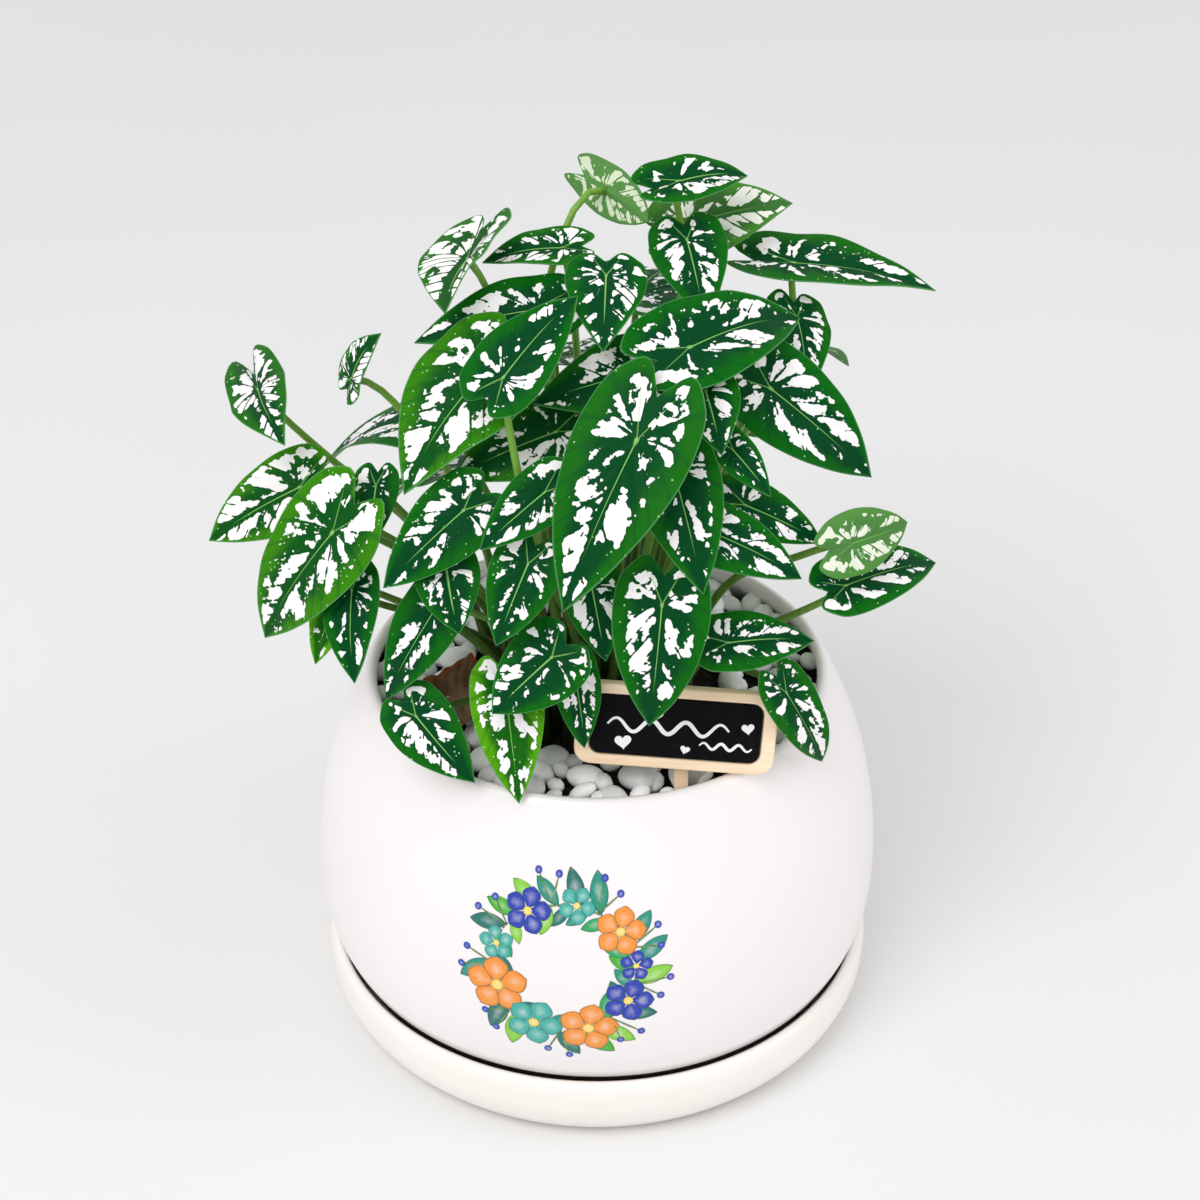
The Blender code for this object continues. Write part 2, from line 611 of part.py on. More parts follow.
# Dead leaf
def lowered(shape, ground):
    """The shape let down onto the ground, to a small gap measured straight down at the corners of both."""
    under, own = tree_of([ground]), tree_of([shape])
    falls = [under.ray_cast(point, (0, 0, -1))[3] for point in shape[0]]
    falls += [own.ray_cast(point, (0, 0, 1))[3] for point in ground[0]]
    fall = min(found for found in falls if found is not None) - REST_GAP
    return [(x, y, z - fall) for x, y, z in shape[0]], shape[1]


def dry_leaf_shape():
    """A crumpled sheet, closed by a second face just below."""
    rows, columns = DRY_LEAF_GRID
    length, width, thick = DRY_LEAF
    points = []
    for side in (1, 0):
        for i in range(rows):
            for j in range(columns):
                u, v = i / (rows - 1), j / (columns - 1) - 0.5
                half = width * (0.25 + 0.75 * math.sin(math.pi * (0.12 + 0.8 * u)))
                x, y = (u - 0.5) * length, v * half
                crumple = 1.5 * math.sin(5.1 * u + 6.5 * v) + 1.1 * math.sin(9.3 * u - 7 * v + 1) + 9 * v * v
                points.append((x, y, crumple + side * thick))
    sheet = rows * columns
    faces = []
    for i in range(rows - 1):
        for j in range(columns - 1):
            a = i * columns + j
            b, c, d = a + 1, a + columns + 1, a + columns
            faces += [(a, d, c), (a, c, b)]
            faces += [(a + sheet, c + sheet, d + sheet), (a + sheet, b + sheet, c + sheet)]
    rim = ([j for j in range(columns)] + [i * columns + columns - 1 for i in range(1, rows)]
           + [(rows - 1) * columns + j for j in range(columns - 2, -1, -1)]
           + [i * columns for i in range(rows - 2, 0, -1)])
    for a, b in zip(rim, rim[1:] + rim[:1]):
        faces += [(a, b, b + sheet), (a, b + sheet, a + sheet)]
    turn = math.radians(DRY_LEAF_TURN)
    placed = [(x * math.cos(turn) - y * math.sin(turn) + DRY_LEAF_AT[0],
               x * math.sin(turn) + y * math.cos(turn) + DRY_LEAF_AT[1], z + DRY_LEAF_AT[2])
              for x, y, z in points]
    return placed, faces


for old in list(bpy.data.objects):
    bpy.data.objects.remove(old)

white_glaze = surface("white_glaze", (0.95, 0.94, 0.92), 0.22)
potting_soil = surface("potting_soil", (0.09, 0.07, 0.06), 0.95)
pebble_stone = surface("pebble_stone", (0.82, 0.82, 0.81), 0.6)
pale_wood = surface("pale_wood", (0.93, 0.80, 0.64), 0.6)
chalkboard = surface("chalkboard", (0.05, 0.05, 0.06), 0.7)
dry_leaf_brown = surface("dry_leaf_brown", (0.36, 0.24, 0.15), 0.85)
leaf_green = surface("leaf_green", (0.09, 0.42, 0.12), 0.45)

# Pot and saucer
pot = solid("pot", *turned(POT_OUTSIDE + POT_INSIDE + POT_UNDERSIDE, ROUND_STEPS), white_glaze, smooth=True)
saucer = solid("saucer", *turned(SAUCER, ROUND_STEPS), white_glaze, smooth=True)

# Sign
plate_front = PLATE[2] / 2
recess = (BOARD[0] + 2 * GAP, BOARD[1] + 2 * GAP, 2 * RECESS + 2 * GAP)
plate = solid("sign_plate", *on_sign(slab(PLATE, PLATE_CORNER, plate_front)), pale_wood)
cut(plate, solid("recess", *on_sign(slab(recess, BOARD_CORNER + GAP, plate_front + RECESS))))
board_front = plate_front - RECESS + BOARD[2]
board = solid("sign_board", *on_sign(slab(BOARD, BOARD_CORNER, board_front)), chalkboard)
stick = solid("sign_stick", *stick_shape(0), pale_wood)

# Pebbles
rng = np.random.default_rng(4)
stick_foot = np.mean([p[:2] for p in shape_of(stick)[0] if p[2] < SOIL_TOP + 3], axis=0)
bed_low = SOIL_TOP + GAP
bed_high = bed_low + BED_THICK
pebbles = solid("pebbles", *turned(((BED_INNER, bed_low), (BED_OUTER, bed_low), (BED_OUTER, bed_high),
                                    (BED_INNER, bed_high)), ROUND_STEPS), pebble_stone)
stones = []
for place in pebble_places(rng, [(stick_foot, STICK_MARGIN)]):
    size = rng.uniform(*PEBBLE_SIZE)
    stones.append(pebble(np.array((*place, bed_high + PEBBLE_LIFT * size)), size, rng))
cut(pebbles, solid("stones", *joined(stones)), "UNION")
cut(pebbles, solid("stick_hole", *stick_shape(GAP)))
flattened(pebbles)

# Dead leaf
dry_leaf = solid("dry_leaf", *lowered(dry_leaf_shape(), shape_of(pebbles)), dry_leaf_brown, smooth=True)

# Blades, from the front of the picture to the back
fixed = [shape_of(made) for made in (pot, plate, stick, pebbles, dry_leaf)]
placed_blades = list(fixed)
leaves = []
rng = np.random.default_rng(7)
for rows, options in ((PICTURE_LEAVES, picture_options), (BACK_LEAVES, back_options)):
    for row in rows:
        leaf = slid(options(row, rng.uniform(0, math.tau)), tree_of(placed_blades))
        leaves.append(leaf)
        placed_blades.append(closed_blade(leaf, BLADE_THICK))

# Stalks, the outermost first
spots = root_spots()
roots = []
for leaf in sorted(leaves, key=lambda one: -np.linalg.norm(one["joint"] - (0, 0, SOIL_TOP))):
    others = fixed + [blade(other, BLADE_THICK)[:2] for other in leaves if other is not leaf]
    others += [leaf_solid(other, other["line"]) for other in leaves if "line" in other]
    spot, line = grown(leaf, spots, tree_of(others))
    spots = [other for other in spots if other is not spot]
    leaf["line"] = line
    roots.append(spot)
for leaf in leaves:
    solid(leaf["name"], *leaf_solid(leaf, leaf["line"]), leaf_green)

# Soil with a plain hole for each stalk and for the stick
soil_wall = [(radius - 2 * GAP, rise + GAP) for radius, rise in reversed(POT_INSIDE[2:-1])]
soil_profile = [(0, SOIL_FLOOR), (SOIL_RADIUS_LOW, SOIL_FLOOR), *soil_wall, (SOIL_RADIUS_HIGH, SOIL_TOP),
                (0, SOIL_TOP)]
soil = solid("soil", *turned(soil_profile, ROUND_STEPS), potting_soil)
hole_low, hole_high = SOIL_TOP - ROOT_DEPTH - GAP, SOIL_TOP + 2
holes = [rod(spot, STALK_FOOT + HOLE_CLEARANCE, hole_low, hole_high, STALK_SIDES) for spot in roots]
cut(soil, solid("holes", *joined(holes)))
cut(soil, solid("stick_hole", *stick_shape(GAP)))
flattened(soil)
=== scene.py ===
# %% [markdown]
# # A potted caladium
#
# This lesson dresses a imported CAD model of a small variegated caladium. The plant grows in a round-bellied
# glazed pot with a saucer, and pebbles, a small chalkboard sign and one dead leaf lie on the soil. The CAD
# model gives every piece its place and its main form. Here each piece gets its fine form and its finish.
#
# The first cell loads that model. Everything after it is worked out in the same place and size, so no piece
# has to be fitted by hand.

# %% Load the model
import math

import bmesh
import bpy
import numpy as np
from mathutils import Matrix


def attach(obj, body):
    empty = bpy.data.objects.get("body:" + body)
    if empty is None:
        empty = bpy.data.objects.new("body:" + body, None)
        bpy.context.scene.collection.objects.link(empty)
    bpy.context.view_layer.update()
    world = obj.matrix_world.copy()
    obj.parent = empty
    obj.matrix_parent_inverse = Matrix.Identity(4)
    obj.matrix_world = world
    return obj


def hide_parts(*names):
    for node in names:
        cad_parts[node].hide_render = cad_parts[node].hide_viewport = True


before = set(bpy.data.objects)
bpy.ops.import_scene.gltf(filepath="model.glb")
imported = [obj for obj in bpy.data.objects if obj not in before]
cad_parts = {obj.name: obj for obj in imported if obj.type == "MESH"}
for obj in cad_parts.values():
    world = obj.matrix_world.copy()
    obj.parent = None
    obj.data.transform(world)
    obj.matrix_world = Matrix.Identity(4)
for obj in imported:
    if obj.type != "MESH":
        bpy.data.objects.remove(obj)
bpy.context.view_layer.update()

MM = 0.001

# %% [markdown]
# ## Colours and nodes
#
# Colours are picked on a screen, so they are sRGB hex values. Blender's shaders work with linear light, and
# one function turns the one into the other. Every material and every Geometry Nodes tree is a graph of
# nodes, and one function adds a node: it fills the inputs that the node shows, in their order, and a value
# may be a number, a colour, another node or one of its outputs. A noise takes its place, how many lumps it
# has to the metre, and its detail, so 100 makes lumps of 10 mm. Every finish starts as a shader that knows
# its place on the object, and ends as a colour and often a small bump, so two more functions do that.

# %% Colour and node helpers
def colour(hex_code, alpha=1):
    """Linear red, green, blue and alpha from an sRGB hex value."""
    parts = [int(hex_code[i:i + 2], 16) / 255 for i in (1, 3, 5)]
    return (*[c / 12.92 if c <= 0.04045 else ((c + 0.055) / 1.055) ** 2.4 for c in parts], alpha)


def shown(sockets):
    """The sockets that a node shows with its present settings."""
    return [socket for socket in sockets if socket.enabled]


def add(tree, kind, *values, inputs=None, **settings):
    """Adds a node to a tree and fills its inputs; None leaves an input as it is."""
    node = tree.nodes.new(kind)
    for name, value in settings.items():
        setattr(node, name, value)
    named = [(node.inputs[title], value) for title, value in (inputs or {}).items()]
    for socket, value in [*zip(shown(node.inputs), values), *named]:
        if isinstance(value, bpy.types.Node):
            value = shown(value.outputs)[0]
        if isinstance(value, bpy.types.NodeSocket):
            tree.links.new(value, socket)
        elif value is not None:
            socket.default_value = value
    return node


def finish_of(name, roughness, ior=1.5, **constants):
    """A new material, its tree and the place on the object; the constants are set on the shader itself."""
    material = bpy.data.materials.new(name)
    material.use_nodes = True
    tree = material.node_tree
    sockets = tree.nodes["Principled BSDF"].inputs
    for title, value in {"Roughness": roughness, "IOR": ior, **constants}.items():
        sockets[title.replace("_", " ")].default_value = value
    return material, tree, add(tree, "ShaderNodeTexCoord").outputs["Object"]


def coat(tree, skin, height=None, strength=0, depth=0):
    """Gives the shader its colour and, where there is a height, a bump of that depth in millimetres."""
    sockets = tree.nodes["Principled BSDF"].inputs
    tree.links.new(shown(skin.outputs)[0], sockets["Base Color"])
    if height is not None:
        bump = add(tree, "ShaderNodeBump", strength, depth * MM, None, height)
        tree.links.new(bump.outputs[0], sockets["Normal"])


print("white is", [round(c, 3) for c in colour("#ffffff")])

# %% [markdown]
# ## Making a mesh piece
#
# All pieces are lists of points in millimetres and faces. One function makes the object, turns its faces
# outward and says how many triangles it has. Its place is in the mesh, so the object itself stays at the
# origin.

# %% From points to a piece
made_triangles = {}


def placed(name, data):
    """A new object in the scene that holds a mesh, a lamp or a camera."""
    made = bpy.data.objects.new(name, data)
    bpy.context.scene.collection.objects.link(made)
    return made


def mesh_of(name, points, faces=()):
    mesh = bpy.data.meshes.new(name)
    mesh.from_pydata((np.asarray(points, dtype=float) * MM).tolist(), [], faces)
    return mesh


def finished(name, mesh):
    """The object of a mesh, right side out, with its triangles counted."""
    shape = bmesh.new()
    shape.from_mesh(mesh)
    if shape.calc_volume(signed=True) < 0:
        bmesh.ops.reverse_faces(shape, faces=shape.faces)
        shape.to_mesh(mesh)
    shape.free()
    mesh.name = name
    made_triangles[name] = sum(len(face.vertices) - 2 for face in mesh.polygons)
    return placed(name, mesh)


def piece(name, points, faces, materials, kinds=None, smooth=True, attributes=None):
    """An object from points in millimetres; kinds picks a material for each face."""
    mesh = mesh_of(name, points, faces)
    for material in materials:
        mesh.materials.append(material)
    if kinds is not None:
        mesh.polygons.foreach_set("material_index", kinds)
    mesh.polygons.foreach_set("use_smooth", [smooth] * len(mesh.polygons))
    for title, values in (attributes or {}).items():
        layer = mesh.attributes.new(title, "FLOAT_VECTOR", "POINT")
        layer.data.foreach_set("vector", np.asarray(values, dtype=float).ravel())
    return finished(name, mesh)


def carried(made, slot, *nodes):
    """The piece rides on the object's one body and stands for the CAD nodes, which are hidden; slot is not
    used.
    """
    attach(made, "root")
    if nodes:
        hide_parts(*nodes)


# %% Reading the CAD model
WELD = 2e-6  # metres; corners nearer to each other than this are one


def welded(node):
    """A merged copy of a CAD node's mesh, which comes as loose triangles."""
    shape = bmesh.new()
    shape.from_mesh(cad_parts[node].data)
    bmesh.ops.remove_doubles(shape, verts=shape.verts, dist=WELD)
    shape.verts.index_update()
    return shape


def corners_of(shape):
    return np.array([tuple(corner.co) for corner in shape.verts])


print("the soil has", len(welded("soil").verts), "corners")

# %% Directions and smooth curves
def unit(vectors):
    return vectors / np.linalg.norm(vectors, axis=-1, keepdims=True)


def run_along(line):
    """How far each point of a line is from its start."""
    return np.concatenate([[0], np.cumsum(np.linalg.norm(np.diff(line, axis=0), axis=1))])


def through(knots, values, at):
    """A smooth curve through values at uneven knots, read at the given places."""
    knots, values = np.asarray(knots, float), np.asarray(values, float)
    slopes = np.gradient(values, knots, axis=0)
    k = np.clip(np.searchsorted(knots, at, side="right") - 1, 0, len(knots) - 2)
    step = knots[k + 1] - knots[k]
    t = (at - knots[k]) / step
    shape = (-1,) + (1,) * (values.ndim - 1)
    t, step = t.reshape(shape), step.reshape(shape)
    return ((2 * t**3 - 3 * t**2 + 1) * values[k] + (t**3 - 2 * t**2 + t) * step * slopes[k]
            + (3 * t**2 - 2 * t**3) * values[k + 1] + (t**3 - t**2) * step * slopes[k + 1])


print("half way from 0 to 1:", through((0, 1), (0, 1), np.array([0.5])))

# %% [markdown]
# ## The leaves: reading their form
#
# A caladium leaf is a thin heart on a long stalk, and the stalk holds the blade not at its edge but a
# little inside it. In the CAD model each leaf is a closed shell of a few flat triangles, built in rings:
# the joint, three rings on the upper face out to the margin, three back on the underside, and six down the
# stalk. The rings are found again by walking outward from the joint, because no other corner has fourteen
# neighbours. The form then comes from the model itself, and a leaf that moves there moves here too.

# %% Walk the rings of a leaf
SPOKE_ANGLES = (0, 9, 28, 55, 95, 135, 163, 180)  # degrees off the midrib, on both halves
SPOKES = 14
MIDDLE_RING_AT = 0.55  # between joint and margin


def rings_of(node):
    """The rings of a leaf in walking order, the joint first."""
    shape = welded(node)
    points = corners_of(shape) / MM
    neighbours = [[edge.other_vert(corner).index for edge in corner.link_edges] for corner in shape.verts]
    shape.free()
    hub = max((i for i, near in enumerate(neighbours) if len(near) == SPOKES), key=lambda i: points[i][2])
    rings, seen = [[hub]], {hub}
    while rings[-1]:
        further = sorted({n for i in rings[-1] for n in neighbours[i]} - seen)
        seen |= set(further)
        rings.append(further)
    return [points[ring] for ring in rings[:-1]]


def leaf_form(node):
    """A leaf's joint, axes and length, its middle surface in rings, and its stalk's line and radii."""
    rings = rings_of(node)
    joint, upper, lower, stalk = rings[0][0], rings[1:4], rings[6:3:-1], rings[7:13]
    tip = max(upper[2], key=lambda p: np.linalg.norm(p - joint))
    along = unit(tip - joint)
    thickness = upper[0].mean(axis=0) - lower[0].mean(axis=0)
    normal = unit(np.linalg.svd(upper[0] - upper[0].mean(axis=0))[2][2])
    normal = normal if normal @ thickness > 0 else -normal
    normal = unit(normal - (normal @ along) * along)
    across = np.cross(along, normal)

    def in_turn(ring):
        """A ring's points by their angle round the joint, the one on the midrib first."""
        angles = np.arctan2((ring - joint) @ across, (ring - joint) @ along)
        order = np.argsort(angles)
        return ring[np.roll(order, -np.argmin(np.abs(angles[order])))]

    return {"joint": joint - thickness / 2, "across": across, "normal": normal,
            "length": np.linalg.norm(tip - joint),
            "middle": [(in_turn(top) + in_turn(under)) / 2 for top, under in zip(upper, lower)],
            "stalk": np.array([ring.mean(axis=0) for ring in stalk]),
            "radii": [np.linalg.norm(ring - ring.mean(axis=0), axis=1).mean() for ring in stalk]}


leaf_nodes = sorted(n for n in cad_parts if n.startswith("leaf_"))
forms = {node: leaf_form(node) for node in leaf_nodes}
lengths = [form["length"] for form in forms.values()]
print(len(forms), "leaves,", round(min(lengths)), "to", round(max(lengths)), "mm from joint to tip")

# %% [markdown]
# ## The leaves: growing the fine blade
#
# The fine blade runs smooth curves through the rings: round the leaf on each half from tip to notch, so
# that the tip and the notch stay sharp, and out from the joint to the margin. Side veins leave the midrib
# on a slant and bend to the tip, and the blade is puffed up a little between them. Where those veins run is
# worked out once for every point and kept on the mesh. The material uses it later, because the white
# patches of a caladium lie between the veins.

# %% Vein map of a blade
# Places on a blade are shares of the leaf's length, x off the midrib and y along it
VEIN_PITCH = 0.15  # between side veins on the midrib
VEIN_SLANT, VEIN_BEND = 0.8, 1.1
FIRST_VEIN = math.atan2(1, VEIN_SLANT)
LOBE_VEIN_STEP = 0.5  # radians between the veins that leave the joint
PATCH_SLANT, PATCHES_ACROSS, PATCHES_ALONG = 0.3, 8.0, 3.7  # ahead of the joint, in a leaf's length
LOBE_PATCHES_ROUND, LOBE_PATCHES_OUT = 2.1, 6.0  # behind it, in a radian and in a leaf's length


def vein_count(x, y):
    """A number that is whole on each side vein."""
    bent = y - VEIN_BEND * x**2
    ahead = bent - VEIN_SLANT * np.abs(x)
    behind = -(np.arctan2(np.abs(x), bent) - FIRST_VEIN) / LOBE_VEIN_STEP
    return np.where(ahead > 0, ahead / VEIN_PITCH, behind)


def patch_flow(x, y):
    """Two numbers that run across and along the white patches, which are drawn out along the veins."""
    side = np.abs(x)
    ahead = PATCHES_ACROSS * (side - PATCH_SLANT * y), PATCHES_ALONG * (y + PATCH_SLANT * side)
    behind = LOBE_PATCHES_ROUND * np.arctan2(side, y), LOBE_PATCHES_OUT * np.hypot(side, y)
    blend = np.clip((y + 0.08) / 0.25, 0, 1)
    blend = blend * blend * (3 - 2 * blend)
    return [b * (1 - blend) + a * blend for a, b in zip(ahead, behind)]


print("veins at mid-blade:", np.round(vein_count(np.array((0.05, 0.15, 0.25)), np.full(3, 0.3)), 2))

# %% Surface of a blade
AROUND_HALF, OUTWARD = 38, 22
TURNS = 180 * np.linspace(0, 1, AROUND_HALF + 1) ** 1.35  # degrees off the midrib, closer near the tip


def blade_sheet(form):
    """The middle surface of a blade as rows round the leaf and columns outward, without the joint."""
    out = np.linspace(0, 1, OUTWARD + 1)
    halves = []
    for spokes in ([*range(8)], [0, *range(13, 6, -1)]):  # from the tip to the notch, on either side
        rings = [through(SPOKE_ANGLES, ring[spokes], TURNS) for ring in form["middle"]]
        rows = []
        for collar, middle, margin in zip(*rings):
            near = np.linalg.norm(collar - form["joint"]) / np.linalg.norm(margin - form["joint"])
            rows.append(through((0, near, MIDDLE_RING_AT, 1), (form["joint"], collar, middle, margin), out))
        halves.append(np.array(rows))
    return np.concatenate([halves[0], halves[1][-2:0:-1]])[:, 1:]


def pressed_flat(form, sheet):
    """Places on the blade as if pressed flat, and how near the margin each one is."""
    way = np.radians(np.concatenate([TURNS, -TURNS[-2:0:-1]]))[:, None]
    from_joint = np.concatenate([np.broadcast_to(form["joint"], (len(sheet), 1, 3)), sheet], axis=1)
    run = np.cumsum(np.linalg.norm(np.diff(from_joint, axis=1), axis=2), axis=1) / form["length"]
    x, y = run * np.sin(way), run * np.cos(way)
    spots = np.vstack([(0, 0), np.column_stack([x.ravel(), y.ravel()])])
    start = np.column_stack([x[:, -1], y[:, -1]])
    edge = np.roll(start, -1, axis=0) - start
    offset = spots[:, None] - start
    along = np.clip((offset * edge).sum(axis=2) / (edge**2).sum(axis=1), 0, 1)
    depth = np.linalg.norm(offset - along[..., None] * edge, axis=2).min(axis=1)
    side = np.abs(spots[:, 0])
    return spots[:, 0], spots[:, 1], side / (side + depth + 1e-6)


print("each blade surface has", 2 * AROUND_HALF, "rows of", OUTWARD, "points")

# %% Faces of shells and tubes
def turned_out(points, faces):
    """The faces of one closed part, all turned over where they would face inward."""
    corners = np.array([(face[0], face[k], face[k + 1]) for face in faces for k in range(1, len(face) - 1)])
    a, b, c = (points[corners[:, k]] for k in range(3))
    return [face[::-1] for face in faces] if (a * np.cross(b, c)).sum() < 0 else faces


def joined(parts):
    """Several closed parts as one list of points and one of faces."""
    starts = np.cumsum([0] + [len(points) for points, _ in parts]).tolist()
    faces = [[i + start for i in face] for start, (points, part_faces) in zip(starts, parts)
             for face in turned_out(np.asarray(points), part_faces)]
    return np.vstack([points for points, _ in parts]), faces


def shell_faces(rows, columns):
    """A thin shell: a middle point and rows of points round it, the same once more below, and the rim."""
    index = 1 + np.arange(rows * columns).reshape(rows, columns)
    ahead = np.roll(index, -1, axis=0)
    fan = np.column_stack([np.zeros(rows, dtype=int), index[:, 0], ahead[:, 0]])
    quads = np.stack([index[:, :-1], index[:, 1:], ahead[:, 1:], ahead[:, :-1]], axis=-1).reshape(-1, 4)
    upper = fan.tolist() + quads.tolist()
    layer = 1 + rows * columns
    rim = np.column_stack([index[:, -1], index[:, -1] + layer, ahead[:, -1] + layer, ahead[:, -1]])
    return upper + [[i + layer for i in reversed(face)] for face in upper] + rim.tolist()


def tube_faces(rows, sides):
    """A tube of rows of points, closed at both ends."""
    walls = [[row * sides + n, row * sides + (n + 1) % sides,
              (row + 1) * sides + (n + 1) % sides, (row + 1) * sides + n]
             for row in range(rows - 1) for n in range(sides)]
    return walls + [[*range(sides)][::-1], [*range((rows - 1) * sides, rows * sides)]]


print("a square bar has", len(tube_faces(2, 4)), "faces")

# %% Fine blade and stalk
BLADE_HALF_THICK, MARGIN_THINNING = 0.26, 0.45  # millimetres, and the share that goes towards the margin
PUFF, PUFF_FROM = 0.006, 0.06  # of the leaf's length: how high, and how far off the midrib it is full
MIDRIB_GROOVE, MIDRIB_RIDGE, MIDRIB_WIDTH = 0.22, 0.45, 0.8
STALK_STEPS, STALK_SIDES, STALK_FLARE = 26, 12, 1.2


def stalk_mesh(form):
    """A round tapering tube from inside the blade down to the bottom of its hole."""
    line = np.vstack([form["joint"], form["stalk"]])
    run = run_along(line)
    at = np.linspace(0, run[-1], STALK_STEPS)
    centres = through(run, line, at)
    radii = np.interp(at, run, [form["radii"][0] * STALK_FLARE, *form["radii"]])
    side, points = form["across"], []
    for k, (centre, radius) in enumerate(zip(centres, radii)):
        way = unit(centres[min(k + 1, STALK_STEPS - 1)] - centres[max(k - 1, 0)])
        side = unit(side - (side @ way) * way)
        other = np.cross(way, side)
        angles = np.arange(STALK_SIDES) * math.tau / STALK_SIDES
        points += [centre + radius * (math.cos(a) * side + math.sin(a) * other) for a in angles]
    return np.array(points), tube_faces(STALK_STEPS, STALK_SIDES)


def leaf_mesh(form):
    """Points, faces, face kinds and maps of one fine leaf: blade faces first, then its stalk."""
    sheet = blade_sheet(form)
    rows, columns = sheet.shape[:2]
    flat = np.vstack([form["joint"], sheet.reshape(-1, 3)])
    x, y, outward = pressed_flat(form, sheet)
    share = np.concatenate([[0], np.tile(np.arange(1, columns + 1) / columns, rows)])
    blade_faces = shell_faces(rows, columns)
    quads = np.array(blade_faces[rows:rows * columns])
    corners = flat[quads]
    facing = np.cross(corners[:, 2] - corners[:, 0], corners[:, 3] - corners[:, 1])
    normals = np.zeros_like(flat)
    for corner in range(4):
        np.add.at(normals, quads[:, corner], facing)
    normals[0] = normals[1::columns].sum(axis=0)
    normals = unit(normals)
    if normals[0] @ form["normal"] < 0:
        normals = -normals
    count = vein_count(x, y)
    puff = (0.5 - 0.5 * np.cos(math.tau * count)) * np.clip(4 * share * (1 - share), 0, 1)
    puff *= np.clip(np.abs(x) / PUFF_FROM, 0, 1)
    rib = np.exp(-(x * form["length"] / MIDRIB_WIDTH) ** 2) * np.clip(1.1 - share, 0, 1) * (y > 0)
    flat = flat + normals * (PUFF * form["length"] * puff - MIDRIB_GROOVE * rib)[:, None]
    half = BLADE_HALF_THICK * (1 - MARGIN_THINNING * share**3)
    top = flat + normals * half[:, None]
    under = flat - normals * (half + MIDRIB_RIDGE * rib)[:, None]
    stalk_points, stalk_faces = stalk_mesh(form)
    spare = np.zeros((len(stalk_points), 3))
    place = np.column_stack([x * form["length"], y * form["length"], share])
    flow = np.column_stack([*patch_flow(x, y), outward])
    veins = [np.column_stack([count, puff, np.full(len(flat), side)]) for side in (0, 1)]
    maps = {"blade_place": np.vstack([place, place, spare]), "blade_veins": np.vstack([*veins, spare]),
            "blade_flow": np.vstack([flow, flow, spare])}
    points, faces = joined([(np.vstack([top, under]), blade_faces), (stalk_points, stalk_faces)])
    return points, faces, [0] * len(blade_faces) + [1] * len(stalk_faces), maps


trial = leaf_mesh(forms["leaf_front_1"])
print("one fine leaf has", len(trial[0]), "points and", len(trial[1]), "faces")

# %% [markdown]
# ## The leaves: their colours
#
# The blade is living tissue under a thin wax. Chlorophyll makes it green: a darker bluish green round the
# veins and a fresher one in a band along the margin. Where the tissue holds air instead, it is white, in
# ragged patches that lie between the side veins and follow them. One material serves all the leaves. It
# reads the vein map of the mesh, and each leaf brings its own seed, its share of white and its tone as
# attributes.

# %% Blade material: the maps it reads
# Caladium blade: leaf tissue under a dull wax that mirrors little, white where it holds air
caladium_blade, tree, place = finish_of("caladium_blade_tissue", 0.5, 1.4, Specular_IOR_Level=0.08)
maps = {}
for title in ("blade_place", "blade_veins", "blade_flow", "blade_kind", "blade_habit"):
    source = add(tree, "ShaderNodeAttribute", attribute_name=title)
    maps[title] = add(tree, "ShaderNodeSeparateXYZ", source.outputs["Vector"]).outputs
x, y, share = maps["blade_place"]  # millimetres off and along the midrib, share of the way to the margin
count, puff, underside = maps["blade_veins"]
flow_across, flow_along, outward = maps["blade_flow"]
seed, white, tone = maps["blade_kind"]
reach, veining, specks = maps["blade_habit"]
across = add(tree, "ShaderNodeMath", x, operation="ABSOLUTE")
print("the blade's material reads", len(maps), "maps")

# %% Blade material: white patches
# Noise drawn out along the veins, with edges ragged at 2.3 mm and at 0.9 mm; each half has patches of its own
right = add(tree, "ShaderNodeMath", x, 0.0, operation="GREATER_THAN")
own = add(tree, "ShaderNodeMath", right, 17.3, seed, operation="MULTIPLY_ADD")
flow = add(tree, "ShaderNodeCombineXYZ", add(tree, "ShaderNodeMath", flow_across, own, operation="ADD"),
           add(tree, "ShaderNodeMath", flow_along, own, operation="ADD"), own)
blobs = add(tree, "ShaderNodeTexNoise", flow, 1.0, 0.0, inputs={"Distortion": 0.5})
ragged = add(tree, "ShaderNodeTexNoise", place, 430.0, 1.0)
fringe = add(tree, "ShaderNodeTexNoise", place, 1150.0, 1.0)
level = white
for noise, strength in ((blobs, 1.5), (ragged, 0.95), (fringe, 0.4)):
    level = add(tree, "ShaderNodeMath", noise, strength, level, operation="MULTIPLY_ADD")

# White keeps off the midrib and the joint, goes only as far out as this leaf lets it, and stops at side veins
off_midrib = add(tree, "ShaderNodeMapRange", across, 0.3, 1.9, interpolation_type="SMOOTHSTEP")
off_joint = add(tree, "ShaderNodeMapRange", share, 0.05, 0.24, interpolation_type="SMOOTHSTEP")
to_edge = add(tree, "ShaderNodeMath", reach, outward, operation="SUBTRACT")
off_margin = add(tree, "ShaderNodeMapRange", to_edge, -0.03, 0.14, interpolation_type="SMOOTHSTEP")
room = add(tree, "ShaderNodeMath", off_midrib, off_joint, operation="MULTIPLY")
room = add(tree, "ShaderNodeMath", room, off_margin, operation="MULTIPLY")
level = add(tree, "ShaderNodeMath", room, 0.7, level, operation="MULTIPLY_ADD")
part = add(tree, "ShaderNodeMath", count, operation="FRACT")
from_middle = add(tree, "ShaderNodeMath", part, 0.5, operation="SUBTRACT")
from_middle = add(tree, "ShaderNodeMath", from_middle, operation="ABSOLUTE")
on_vein = add(tree, "ShaderNodeMapRange", from_middle, 0.36, 0.48, interpolation_type="SMOOTHSTEP")
cut = add(tree, "ShaderNodeMath", on_vein, veining, operation="MULTIPLY")
level = add(tree, "ShaderNodeMath", level, cut, operation="SUBTRACT")
